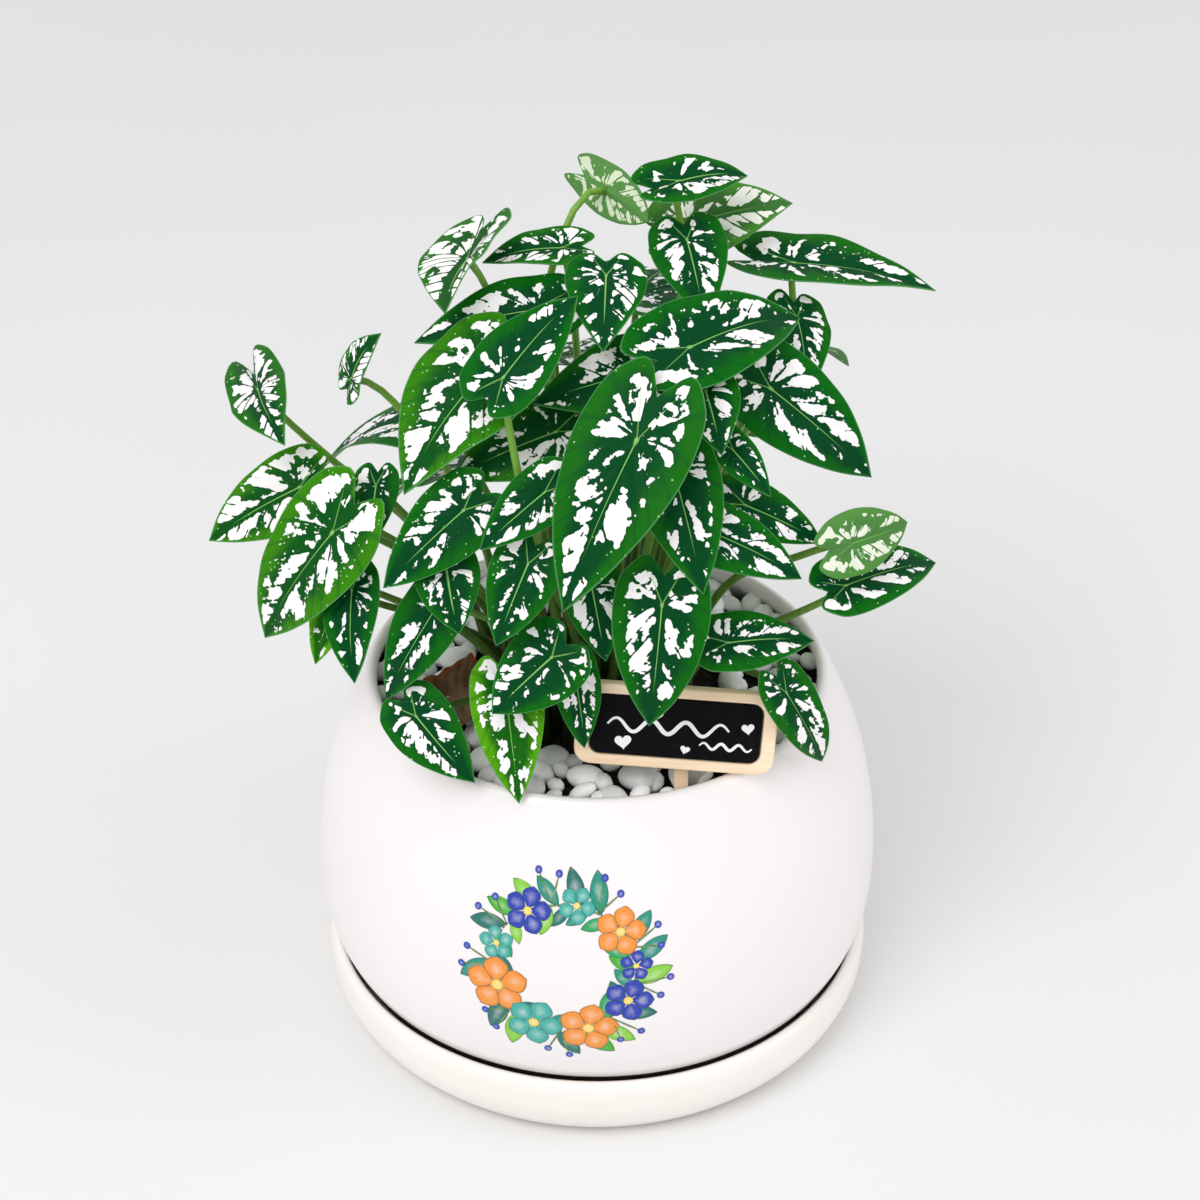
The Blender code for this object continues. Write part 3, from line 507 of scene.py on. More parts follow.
patch = add(tree, "ShaderNodeMapRange", level, 2.16, 2.19)
print("nodes up to the patches:", len(tree.nodes))

# %% Blade material: specks and greens
# Pale dots of a third of a millimetre, one to each millimetre cell at most, mostly towards the margin
dots = add(tree, "ShaderNodeTexVoronoi", place, 950.0)
draw = add(tree, "ShaderNodeSeparateColor", dots.outputs["Color"])
dot = add(tree, "ShaderNodeMapRange", dots.outputs["Distance"], 0.24, 0.16)
towards_margin = add(tree, "ShaderNodeMapRange", share, 0.35, 0.8, 0.3, 1.0)
chance = add(tree, "ShaderNodeMath", specks, towards_margin, operation="MULTIPLY")
rare = add(tree, "ShaderNodeMath", draw, chance, operation="LESS_THAN")
speck = add(tree, "ShaderNodeMath", dot, rare, operation="MULTIPLY")

# Dark and bluish in the middle, fresh in a band along the margin whose edge drifts over 5 mm
drift = add(tree, "ShaderNodeTexNoise", place, 190.0, 3.0)
band_at = add(tree, "ShaderNodeMath", drift, 0.5, outward, operation="MULTIPLY_ADD")
band = add(tree, "ShaderNodeMapRange", band_at, 0.7, 1.15, interpolation_type="SMOOTHSTEP")
heart = add(tree, "ShaderNodeMix", tone, colour("#004420"), colour("#1c6a06"), data_type="RGBA")
edge = add(tree, "ShaderNodeMix", tone, colour("#00600f"), colour("#5cae06"), data_type="RGBA")
green = add(tree, "ShaderNodeMix", band, heart, edge, data_type="RGBA")
near_vein = add(tree, "ShaderNodeMath", on_vein, 0.3, operation="MULTIPLY")
green = add(tree, "ShaderNodeMix", near_vein, green, colour("#003f24"), data_type="RGBA")
green = add(tree, "ShaderNodeMix", speck, green, colour("#a9dba0"), data_type="RGBA")
print("nodes up to the greens:", len(tree.nodes))

# %% Blade material: veins that show
# The midrib, a quarter of a millimetre either way at the joint, thinner forwards and gone at two thirds
thin = add(tree, "ShaderNodeMapRange", y, 0.0, 30.0, 0.26, 0.12)
midrib = add(tree, "ShaderNodeMath", thin, across, operation="SUBTRACT")
midrib = add(tree, "ShaderNodeMath", midrib, 9.0, operation="MULTIPLY", use_clamp=True)
fading = add(tree, "ShaderNodeMapRange", share, 0.7, 0.5, 0.0, 0.85)
midrib = add(tree, "ShaderNodeMath", midrib, fading, operation="MULTIPLY")
in_front = add(tree, "ShaderNodeMath", y, 0.0, operation="GREATER_THAN")
midrib = add(tree, "ShaderNodeMath", midrib, in_front, operation="MULTIPLY")

# One short vein into each lobe, and the pale navel where the stalk joins
sideways = add(tree, "ShaderNodeMath", across, 0.9, operation="MULTIPLY")
aside = add(tree, "ShaderNodeMath", y, 0.42, sideways, operation="MULTIPLY_ADD")
aside = add(tree, "ShaderNodeMath", aside, operation="ABSOLUTE")
lobe_vein = add(tree, "ShaderNodeMath", 0.2, aside, operation="SUBTRACT")
lobe_vein = add(tree, "ShaderNodeMath", lobe_vein, 9.0, operation="MULTIPLY", use_clamp=True)
fading = add(tree, "ShaderNodeMapRange", share, 0.75, 0.4, 0.0, 0.6)
lobe_vein = add(tree, "ShaderNodeMath", lobe_vein, fading, operation="MULTIPLY")
line = add(tree, "ShaderNodeMath", midrib, lobe_vein, operation="MAXIMUM")
navel = add(tree, "ShaderNodeMapRange", share, 0.05, 0.02, 0.0, 0.9)
line = add(tree, "ShaderNodeMath", line, navel, operation="MAXIMUM")
rim = add(tree, "ShaderNodeMapRange", share, 0.975, 0.998, 0.0, 0.4)
print("nodes up to the veins:", len(tree.nodes))

# %% Blade material: skin and surface
skin = green
for where, hex_code in ((rim, "#7fc88a"), (patch, "#fbf8f9"), (line, "#8fc86c")):
    skin = add(tree, "ShaderNodeMix", where, skin, colour(hex_code), data_type="RGBA")
back = add(tree, "ShaderNodeMix", patch, colour("#5b8f4c"), colour("#dbe6c8"), data_type="RGBA")
skin = add(tree, "ShaderNodeMix", underside, skin, back, data_type="RGBA")
# Veins sunk a little, and the grain of the cells at 1.1 mm, coarser than life so that it shows
grain = add(tree, "ShaderNodeTexNoise", place, 900.0, 2.0)
relief = add(tree, "ShaderNodeMath", grain, 0.12, puff, operation="MULTIPLY_ADD")
coat(tree, skin, relief, 0.25, 0.5)
print("nodes in the blade's material:", len(tree.nodes))

# %% Material of the stalks
# Caladium stalk: smooth watery tissue, satin, yellow-green and darker towards the soil, with 1 mm streaks
caladium_stalk, tree, place = finish_of("caladium_stalk_tissue", 0.4, 1.42)
height = add(tree, "ShaderNodeSeparateXYZ", place).outputs["Z"]
low = add(tree, "ShaderNodeMapRange", height, 0.1, 0.185)
lengthways = add(tree, "ShaderNodeMapping", place, inputs={"Scale": (1, 1, 0.12)})
stripes = add(tree, "ShaderNodeTexNoise", lengthways, 900.0, 2.0)
striped = add(tree, "ShaderNodeMath", stripes, low, operation="MULTIPLY")
base = add(tree, "ShaderNodeMix", low, colour("#1f2e0e"), colour("#5a8f26"), data_type="RGBA")
coat(tree, add(tree, "ShaderNodeMix", striped, base, colour("#88b84c"), data_type="RGBA"))
print("nodes in the stalks' material:", len(tree.nodes))

# %% Looks of single leaves
# Share of white, tone (0 bluish, 1 yellow-green), how far out white goes, green veins, specks
PLAIN_LEAF = (-0.02, 0.03, 0.86, 0.18, 0.12)
LEAF_LOOKS = {
    "leaf_front_1": (0.03, 0.04, 0.78, 0.2, 0.08), "leaf_front_2": (-0.02, 0.04, 0.8, 0.2, 0.05),
    "leaf_front_3": (-0.03, 0.03, 0.82, 0.2, 0.08), "leaf_left_1": (-0.04, 0.0, 0.85, 0.3, 0.06),
    "leaf_left_2": (0.05, 0.3, 0.84, 0.2, 0.22), "leaf_left_3": (0.2, 0.1, 1.0, 0.75, 0.05),
    "leaf_left_4": (0.08, 0.1, 0.95, 0.5, 0.1), "leaf_side_4": (0.16, 0.15, 1.0, 0.7, 0.05),
    "leaf_side_3": (0.1, 0.1, 0.95, 0.5, 0.1), "leaf_side_1": (0.05, 0.35, 0.9, 0.2, 0.2),
    "leaf_side_2": (0.06, 0.35, 0.95, 0.25, 0.2), "leaf_mid_1": (0.04, 0.0, 0.9, 0.55, 0.05),
    "leaf_mid_5": (-0.04, 0.15, 0.9, 0.15, 0.28), "leaf_low_1": (-0.02, 0.02, 0.95, 0.2, 0.1),
    "leaf_low_4": (0.02, 0.75, 0.92, 0.15, 0.22), "leaf_side_7": (-0.06, 0.9, 0.8, 0.2, 0.15),
    "leaf_right_1": (0.02, 0.0, 0.86, 0.2, 0.06), "leaf_right_3": (0.02, 0.02, 0.86, 0.2, 0.06),
    "leaf_top_4": (0.08, 0.35, 0.95, 0.4, 0.08), "leaf_top_5": (0.1, 0.4, 0.95, 0.4, 0.08),
    "leaf_side_8": (0.06, 0.45, 0.9, 0.3, 0.05)}
PALE_LEAVES = {"leaf_side_8": 0.7, "leaf_top_4": 0.4, "leaf_left_3": 0.15}  # paler: the top takes this share of the underside's colour
PATCH_SEEDS = {"leaf_front_1": 32.58, "leaf_right_1": 62.06, "leaf_left_2": 32.58}  # the largest leaves
print(len(LEAF_LOOKS), "leaves have a look of their own")

# %% Grow all the leaves
rng = np.random.default_rng(12)
for node in leaf_nodes:
    points, faces, kinds, maps = leaf_mesh(forms[node])
    maps["blade_veins"][:, 2] = np.maximum(maps["blade_veins"][:, 2], PALE_LEAVES.get(node, 0))
    white, tone, reach, veining, specks = LEAF_LOOKS.get(node, PLAIN_LEAF)
    white += 0.02 * rng.uniform(-1, 1)
    tone += rng.uniform(0, 0.03)
    seed = PATCH_SEEDS.get(node, rng.uniform(0, 90))
    maps["blade_kind"] = np.tile((seed, white, tone), (len(points), 1))
    maps["blade_habit"] = np.tile((reach, veining, specks), (len(points), 1))
    grown = piece("caladium_" + node, points, faces, (caladium_blade, caladium_stalk), kinds, attributes=maps)
    carried(grown, "leaf_green", node)
print(len(leaf_nodes), "leaves grown,", sum(made_triangles.values()), "triangles")

# %% [markdown]
# ## Pot and saucer
#
# Both were thrown or cast on one axis, so a profile turned about that axis is their whole form. A Geometry
# Nodes tree does the turning: it lays out a grid with one column for each step round the axis, and moves
# each point to where the profile and the step say. The profile is smoothed first, with the corners kept
# only where the real pot has them.

# %% Smooth profiles
# Radius and height in millimetres; each run is one smooth stretch, and corners stay between runs
POT_RUNS = (
    ((6, 7.8), (44, 7.8)), ((44, 7.8), (45.3, 6.6), (46.2, 5.5), (47.4, 5.3)), ((47.4, 5.3), (56, 5.3)),
    ((56, 5.3), (60, 6.2), (65, 10), (68.8, 16), (71.1, 21.2), (73.4, 26), (75.2, 31.5), (76.2, 39),
     (76.2, 50), (74.9, 63), (71.6, 78), (66.4, 92), (62.6, 99.8), (60.9, 102.9), (60, 103.6), (59, 103.5),
     (58.3, 102.6), (58.6, 100.6), (60.9, 95), (67.2, 80), (70.9, 62), (70.9, 36), (66.4, 20.5), (60, 11)),
    ((60, 11), (6, 11)), ((6, 11), (6, 7.8)))
SAUCER_RUNS = (
    ((0, 0), (66, 0)),
    ((66, 0), (67.6, 0.4), (70, 2.8), (73.6, 7.8), (75.1, 12), (75.4, 16), (75.2, 19.6), (74.6, 21.3),
     (73.6, 22), (72.7, 21.9), (72.1, 20.8), (71.6, 18.4), (71, 14), (69.2, 8.2), (67.2, 5.6), (65, 5)),
    ((65, 5), (0, 5)))
PROFILE_STEP = 1.2


def smooth_profile(runs):
    """Points about one step apart along the runs."""
    points = []
    for run in runs:
        far = run_along(np.array(run, float))
        count = max(2, round(far[-1] / PROFILE_STEP) + 1)
        points += through(far, run, np.linspace(0, far[-1], count)).tolist()[:-1]
    return points + [list(runs[-1][-1])]


print("pot profile:", len(smooth_profile(POT_RUNS)), "points")


# %% Trees of nodes that make a shape by rule
def rule_tree(title, sizes):
    """A Geometry Nodes tree with a base, the named inputs, each of its own kind, and the finish."""
    tree = bpy.data.node_groups.new(title, "GeometryNodeTree")
    tree.interface.new_socket("Base", in_out="INPUT", socket_type="NodeSocketGeometry")
    names = {name: tree.interface.new_socket(name, in_out="INPUT", socket_type="NodeSocket" + kind).identifier
             for name, kind in {**sizes, "Finish": "Material"}.items()}
    tree.interface.new_socket("Made", in_out="OUTPUT", socket_type="NodeSocketGeometry")
    return tree, tree.nodes.new("NodeGroupInput").outputs, names


def end_tree(tree, given, shape):
    """Makes the shape real, smooth and of the given finish."""
    real = add(tree, "GeometryNodeRealizeInstances", shape)
    smooth = add(tree, "GeometryNodeSetShadeSmooth", real)
    done = add(tree, "GeometryNodeSetMaterial", smooth, inputs={"Material": given["Finish"]})
    add(tree, "NodeGroupOutput", done)


def grown_by(name, base, rule, values):
    """The plain mesh that a tree makes from a base object, which is removed."""
    tree, _, names = rule
    step = base.modifiers.new("made by rule", "NODES")
    step.node_group = tree
    for title, value in values.items():
        step[names[title]] = value
    graph = bpy.context.evaluated_depsgraph_get()
    graph.update()
    mesh = bpy.data.meshes.new_from_object(base.evaluated_get(graph))
    base.modifiers.remove(step)
    bpy.data.objects.remove(base)
    return finished(name, mesh)


# %% The turning tree
# Turns a row of profile points about the Z axis into a closed surface
turning = tree, given, _ = rule_tree("turning", {"Steps": "Int", "Rows": "Int"})
columns = add(tree, "ShaderNodeMath", given["Steps"], 1.0, operation="ADD")
grid = add(tree, "GeometryNodeMeshGrid", 1.0, 1.0, columns, given["Rows"])
index = add(tree, "GeometryNodeInputIndex")
row = add(tree, "ShaderNodeMath", index, given["Rows"], operation="FLOORED_MODULO")
column = add(tree, "ShaderNodeMath", index, given["Rows"], operation="DIVIDE")
column = add(tree, "ShaderNodeMath", column, operation="FLOOR")
share = add(tree, "ShaderNodeMath", column, given["Steps"], operation="DIVIDE")
angle = add(tree, "ShaderNodeMath", share, math.tau, operation="MULTIPLY")
place = add(tree, "GeometryNodeInputPosition")
profile = add(tree, "GeometryNodeSampleIndex", given["Base"], place, row, data_type="FLOAT_VECTOR")
turned = add(tree, "ShaderNodeVectorRotate", profile, rotation_type="Z_AXIS", inputs={"Angle": angle})
wall = add(tree, "GeometryNodeSetPosition", grid, inputs={"Position": turned})
end_tree(tree, given, add(tree, "GeometryNodeMergeByDistance", wall, inputs={"Distance": WELD / 2}))
print("the turning tree has", len(tree.nodes), "nodes")

# %% [markdown]
# ## Glaze
#
# The pot is earthenware under a warm white glaze. A glaze is a thin glass, so it is smooth and reflects
# like glass, but over a rough body it pools and thins, which shows as very faint unevenness. The saucer's
# glaze is a little creamier. The foot of the pot, which stands in the saucer, is coloured nearly black as
# painted shade; that gives the thin dark line between pot and saucer.

# %% Glaze materials
PAINTED_SHADE_BELOW = 22.6  # height in millimetres; the foot below it is painted shade
SHADE_EDGE_SOFTNESS = 0.3  # how soft the edge of the painted shade is, in millimetres


def glaze(name, thick_hex, thin_hex, shade_below):
    # White tin glaze, dipped and fired: satin gloss that pools over 36 mm and is uneven at 17 mm
    material, tree, place = finish_of(name, 0.3, 1.5, Coat_Weight=0.2, Coat_Roughness=0.12)
    pooled = add(tree, "ShaderNodeTexNoise", place, 28.0, 3.0)
    tint = add(tree, "ShaderNodeMix", pooled, colour(thick_hex), colour(thin_hex), data_type="RGBA")
    height = add(tree, "ShaderNodeSeparateXYZ", place).outputs["Z"]
    # Painted shade: below the given height the foot is coloured nearly black, so the gap between pot and
    # saucer looks dark
    shade_mask = add(tree, "ShaderNodeMapRange", height, shade_below * MM, (shade_below - SHADE_EDGE_SOFTNESS) * MM)
    painted_shade = add(tree, "ShaderNodeMix", pooled, colour("#1c1714"), colour("#332b26"), data_type="RGBA")
    skin = add(tree, "ShaderNodeMix", shade_mask, tint, painted_shade, data_type="RGBA")
    coat(tree, skin, add(tree, "ShaderNodeTexNoise", place, 60.0, 2.0), 0.1, 0.4)
    return material


pot_glaze = glaze("white_pot_glaze", "#f1ebec", "#f6f1f1", PAINTED_SHADE_BELOW)
saucer_glaze = glaze("cream_saucer_glaze", "#f2ece6", "#f8f3ee", -1)
# the height below which the pot's foot is painted shade
print("bare clay below", PAINTED_SHADE_BELOW, "mm")

# %% Turn the pot and the saucer
ROUND_STEPS = 168
for name, node, runs, finish in (("glazed_pot", "pot", POT_RUNS, pot_glaze),
                                 ("glazed_saucer", "saucer", SAUCER_RUNS, saucer_glaze)):
    profile = smooth_profile(runs)
    if runs is POT_RUNS:
        profile.append(profile[0])
    base = placed("profile", mesh_of("profile", [(r, 0, z) for r, z in profile]))
    turned = grown_by(name, base, turning, {"Steps": ROUND_STEPS, "Rows": len(profile), "Finish": finish})
    carried(turned, "white_glaze", node)
    print(name, made_triangles[name], "triangles")

# %% [markdown]
# ## The painted wreath
#
# The front of the pot carries a small painted picture under a clear glaze. Here it is a plain wreath of
# leaves, five-petal flowers and berries, in the teal, green, orange and blue of such transfers. Each brush
# mark is a thin closed shape laid on the pot's curve. A flat shape as wide as a petal would cut through the
# round wall, so each mark is drawn as rings from its middle out, and every point of them is put on the
# wall. A brush mark is darker where the water dried, so each point also keeps how near the mark's edge it
# is.

# %% Places on the wall
WREATH_AT, WREATH_HIGH, WREATH_RADIUS = -8.5, 61.0, 18.5  # along the wall from the front, height, size
WALL_RADIUS = 76  # at the belly, which turns a length along the wall into an angle
PAINT_FOOT = 0.01  # how far a mark's own underside lies off the wall
outside = np.array(smooth_profile(POT_RUNS[3:4]))
outside = outside[:int(outside[:, 1].argmax()) + 1]


def wall_at(height):
    """The pot's outer radius at a height."""
    return np.interp(height, outside[:, 1], outside[:, 0])


def on_wall(x, y, lift):
    """Places x along and y up from the wreath's middle, lifted off the pot's wall."""
    height = WREATH_HIGH + y
    angle = (WREATH_AT + x) / WALL_RADIUS - math.pi / 2
    slope = (wall_at(height + 1) - wall_at(height - 1)) / 2
    out, up = 1 / np.hypot(1, slope), -slope / np.hypot(1, slope)
    radius = wall_at(height) + lift * out
    return np.column_stack([radius * np.cos(angle), radius * np.sin(angle), height + lift * up])


print("wreath on a wall", round(float(wall_at(WREATH_HIGH)), 1), "mm from the axis")

# %% Brush marks
MARK_RINGS = 5
marks, mark_tints, mark_edges = [], [], []


def mark(outline, tint, lift):
    """One closed brush mark: its outline in the wreath's plane, its colour and how high it lies."""
    outline = np.asarray(outline, float)
    middle = outline.mean(axis=0)
    shares = np.arange(1, MARK_RINGS + 1) / MARK_RINGS
    spokes = middle + shares[:, None] * (outline - middle)[:, None]
    x, y = np.vstack([middle, spokes.reshape(-1, 2)]).T
    marks.append((np.vstack([on_wall(x, y, lift), on_wall(x, y, PAINT_FOOT)]),
                  shell_faces(len(outline), MARK_RINGS)))
    mark_edges.append(np.tile(np.concatenate([[0], np.tile(shares, len(outline))]), 2))
    mark_tints.append(np.tile(colour(tint)[:3], (2 * len(x), 1)))


def direction(angle):
    return np.array((math.cos(angle), math.sin(angle)))


def blade_outline(base, way, length, width, full=0.5):
    """A pointed leaf or petal from its base along a direction; full moves its widest place outward."""
    t = np.linspace(0, 1, 11)
    side = width / 2 * np.sin(math.pi * t ** (math.log(0.5) / math.log(full))) ** 0.8
    spine = np.asarray(base) + np.outer(t, direction(way) * length)
    across = np.outer(side, direction(way + math.pi / 2))
    return np.vstack([spine + across, (spine - across)[-2:0:-1]])


def dot_outline(centre, radius):
    return centre + radius * np.array([direction(n * math.tau / 14) for n in range(14)])


print("a leaf mark has", len(blade_outline((0, 0), 0, 10, 4)), "points round it")

# %% Twig, leaves and berries of the wreath
LEAF_PAINTS = ("#12907a", "#3fae22", "#86cc35", "#0b6f66", "#1fa35c")
TWIG_PAINT, BERRY_PAINT = "#55802f", "#2746b4"
TWIG_STEPS, TWIG_HALF, TWIG_WAVE = 96, 0.3, 0.5
WREATH_LEAVES = 42
FLOWERS = ((202, "orange", 8.0), (246, "teal", 7.0), (290, "orange", 7.4), (332, "blue", 6.2),
           (122, "blue", 6.0), (38, "orange", 6.4), (80, "teal", 4.6), (163, "teal", 4.4),
           (5, "blue", 4.0))  # where on the ring in degrees, colour, size
BERRIES_AT = (22, 62, 101, 144, 182, 225, 268, 311, 349)
rng = np.random.default_rng(21)
for n in range(0, TWIG_STEPS, 2):  # the twig is painted in short strokes
    strokes = (n + np.linspace(0, 1.7, 5)) * math.tau / TWIG_STEPS
    ways = np.array([direction(turn) for turn in strokes])
    wobble = (WREATH_RADIUS + TWIG_WAVE * np.sin(3 * strokes))[:, None]
    mark(np.vstack([ways * (wobble + TWIG_HALF), (ways * (wobble - TWIG_HALF))[::-1]]), TWIG_PAINT, 0.04)
for n in range(WREATH_LEAVES):
    turn = math.radians(n * 360 / WREATH_LEAVES + rng.uniform(-2, 2))
    near = min(abs((math.degrees(turn) - at + 180) % 360 - 180) - size * 1.5 for at, _, size in FLOWERS)
    foot = direction(turn) * (WREATH_RADIUS + TWIG_WAVE * math.sin(3 * turn))
    outward = 1 if n % 2 else -1
    way = turn + math.pi / 2 - outward * math.radians(rng.uniform(48, 62))
    length = rng.uniform(9.4, 12) * (1 if outward > 0 else 0.75)
    if near > -5:  # a leaf right under a flower wouldn't show
        leaf_paint = LEAF_PAINTS[int(rng.integers(5))]
        mark(blade_outline(foot, way, length, length * 0.44), leaf_paint, 0.07 + 0.001 * n)
for at in BERRIES_AT:
    foot = direction(math.radians(at)) * WREATH_RADIUS
    for spread, far, lift in ((-7, 1.4, 0.113), (5, 1.48, 0.114)):
        berry = direction(math.radians(at + spread)) * WREATH_RADIUS * far
        along = berry - foot
        stem = blade_outline(foot, math.atan2(along[1], along[0]), np.linalg.norm(along), 0.5)
        mark(stem, TWIG_PAINT, lift)
        mark(dot_outline(berry, 1.0), BERRY_PAINT, 0.128)
print("marks without the flowers:", len(marks))

# %% Flowers of the wreath
PETAL_PAINTS = {"orange": "#f2922c", "blue": "#1636ac", "teal": "#3aada0"}
PETALS = 5
for at, tint, size in FLOWERS:
    middle = direction(math.radians(at)) * WREATH_RADIUS
    spin = rng.uniform(0, math.tau)
    for petal in range(PETALS):
        way = spin + petal * math.tau / PETALS
        mark(blade_outline(middle + 0.5 * direction(way), way, size, size * 0.86, 0.6), PETAL_PAINTS[tint],
             0.115 + 0.002 * petal)
    mark(dot_outline(middle, size * 0.2), "#f6d76b", 0.14)
print("marks with the flowers:", len(marks))

# %% Paint the wreath
# Underglaze colour: thin watery paint with 2.4 mm clouds, lighter inside a mark and darker where it dried
underglaze, tree, place = finish_of("underglaze_brush_colour", 0.3, 1.5, Coat_Weight=0.2, Coat_Roughness=0.12)
own_tint = add(tree, "ShaderNodeAttribute", attribute_name="paint_tint")
dried = add(tree, "ShaderNodeAttribute", attribute_name="paint_edge").outputs["Fac"]
water = add(tree, "ShaderNodeTexNoise", place, 420.0, 2.0)
mixed = add(tree, "ShaderNodeMath", water, 1.1, dried, operation="MULTIPLY_ADD")
strength = add(tree, "ShaderNodeMapRange", mixed, 0.4, 1.2, 0.62, 1.0)
paint = add(tree, "ShaderNodeMix", strength, colour("#f6f1ee"), own_tint, data_type="RGBA")
rim_line = add(tree, "ShaderNodeMapRange", dried, 0.84, 1.0, 0.0, 0.5)
coat(tree, add(tree, "ShaderNodeMix", rim_line, paint, colour("#12363a"), data_type="RGBA"))
edges = np.concatenate(mark_edges)
wreath = piece("painted_wreath", *joined(marks), (underglaze,), attributes={
    "paint_tint": np.vstack(mark_tints), "paint_edge": np.column_stack([edges] * 3)})
carried(wreath, "white_glaze")
print("wreath:", len(marks), "brush marks,", made_triangles["painted_wreath"], "triangles")

# %% [markdown]
# ## Soil
#
# Potting soil is dark peat with fibres and crumbs of every size. The CAD soil has the right top and a plain
# hole for each stalk, so it stays and gets a peat material. Loose crumbs are strewn over it by a Geometry
# Nodes tree, which covers the plain look of a flat top and hides the edges of the holes.

# %% Peat material
# Damp potting peat: nearly black and rough, with lighter brown fibres in lumps of 1.4 mm and finer
damp_peat, tree, place = finish_of("damp_potting_peat", 0.95, 1.4)
lumps = add(tree, "ShaderNodeTexNoise", place, 700.0, 5.0, 0.7)
fibres = add(tree, "ShaderNodeMapRange", lumps, 0.4, 0.75)
peat = add(tree, "ShaderNodeMix", fibres, colour("#120e0c"), colour("#3a2e26"), data_type="RGBA")
coat(tree, peat, lumps, 0.8, 1.0)
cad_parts["soil"].data.materials.clear()
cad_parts["soil"].data.materials.append(damp_peat)
print("the soil has the finish", damp_peat.name)

# %% The strewing tree
# Strews small rough bodies over a surface, none nearer to another than the spacing
strewing = tree, given, _ = rule_tree("strewing", {
    "Spacing": "Float", "Density": "Float", "Smallest": "Float", "Largest": "Float", "Roundness": "Int",
    "Seed": "Int"})
spread = add(tree, "GeometryNodeDistributePointsOnFaces", given["Base"], inputs={
    "Distance Min": given["Spacing"], "Density Max": given["Density"], "Seed": given["Seed"]},
    distribute_method="POISSON")
body = add(tree, "GeometryNodeMeshIcoSphere", 1.0, given["Roundness"])
size = add(tree, "FunctionNodeRandomValue", given["Smallest"], given["Largest"], inputs={"Seed": 3})
squash, turn, kind = (
    add(tree, "FunctionNodeRandomValue", low, high, inputs={"Seed": seed}, data_type="FLOAT_VECTOR")
    for low, high, seed in (((0.7, 0.7, 0.5), (1.3, 1.3, 0.9), 4), ((-0.6, -0.6, 0), (0.6, 0.6, 6.28), 5),
                            ((0, 0, 0), (1, 1, 1), 6)))
scale = add(tree, "ShaderNodeVectorMath", squash, size, operation="SCALE")
strewn = add(tree, "GeometryNodeInstanceOnPoints", spread,
             inputs={"Instance": body, "Rotation": turn, "Scale": scale})
kept = add(tree, "GeometryNodeStoreNamedAttribute", strewn, data_type="FLOAT_VECTOR", domain="INSTANCE",
           inputs={"Name": "stone_kind", "Value": kind})
end_tree(tree, given, kept)
print("the strewing tree has", len(tree.nodes), "nodes")

# %% Strew the crumbs
SOIL_TOP, SOIL_RADIUS = 94.0, 60.0
RING_STEPS = 48


def ring_ground(inner, outer, height):
    """A flat ring in millimetres to strew on."""
    angles = np.arange(RING_STEPS) * math.tau / RING_STEPS
    points = [(reach * math.cos(a), reach * math.sin(a), height) for reach in (inner, outer) for a in angles]
    faces = [(n, n + RING_STEPS, (n + 1) % RING_STEPS + RING_STEPS, (n + 1) % RING_STEPS)
             for n in range(RING_STEPS)]
    return placed("ground", mesh_of("ground", points, faces))


crumbs = grown_by("soil_crumbs", ring_ground(0.5, SOIL_RADIUS, SOIL_TOP), strewing, {
    "Spacing": 0.0011, "Density": 450000.0, "Smallest": 0.0005, "Largest": 0.0013, "Roundness": 1, "Seed": 2,
    "Finish": damp_peat})
carried(crumbs, "potting_soil")
print("crumbs:", made_triangles["soil_crumbs"], "triangles")

# %% [markdown]
# ## Pebbles
#
# The pebbles are tumbled white and grey stones, 7 to 12 mm across. The CAD model lays rough stones of
# twenty faces by a seeded rule, on a thin bed that holds them together. The same rule with the same seed
# gives every stone its place here, and a smooth stone is drawn through the same twelve corners. The bed
# isn't needed: smaller stones fill the gaps instead, strewn by the same tree as the crumbs.

# %% Places of the stones
BED_INNER, BED_OUTER, BED_HIGH = 31, 57, 95.9
PEBBLE_SIZE, PEBBLE_STRETCH, PEBBLE_LIFT = (3.5, 5), (1.12, 0.9, 0.74), 0.35
PEBBLE_SPACING, PEBBLE_TRIES, PEBBLE_MARGINS, STICK_MARGIN = 10.6, 1400, (4, 4.2), 7
rng = np.random.default_rng(4)
stick_points = corners_of(welded("sign_stick")) / MM
stick_foot = stick_points[stick_points[:, 2] < SOIL_TOP + 3, :2].mean(axis=0)
stone_places = []
for _ in range(PEBBLE_TRIES):
    radius = math.sqrt(rng.uniform((BED_INNER + PEBBLE_MARGINS[0])**2, (BED_OUTER - PEBBLE_MARGINS[1])**2))
    spot = radius * direction(rng.uniform(0, math.tau))
    if (all(np.linalg.norm(spot - other) >= PEBBLE_SPACING for other in stone_places)
            and np.linalg.norm(spot - stick_foot) >= STICK_MARGIN):
        stone_places.append(spot)
print(len(stone_places), "stones")

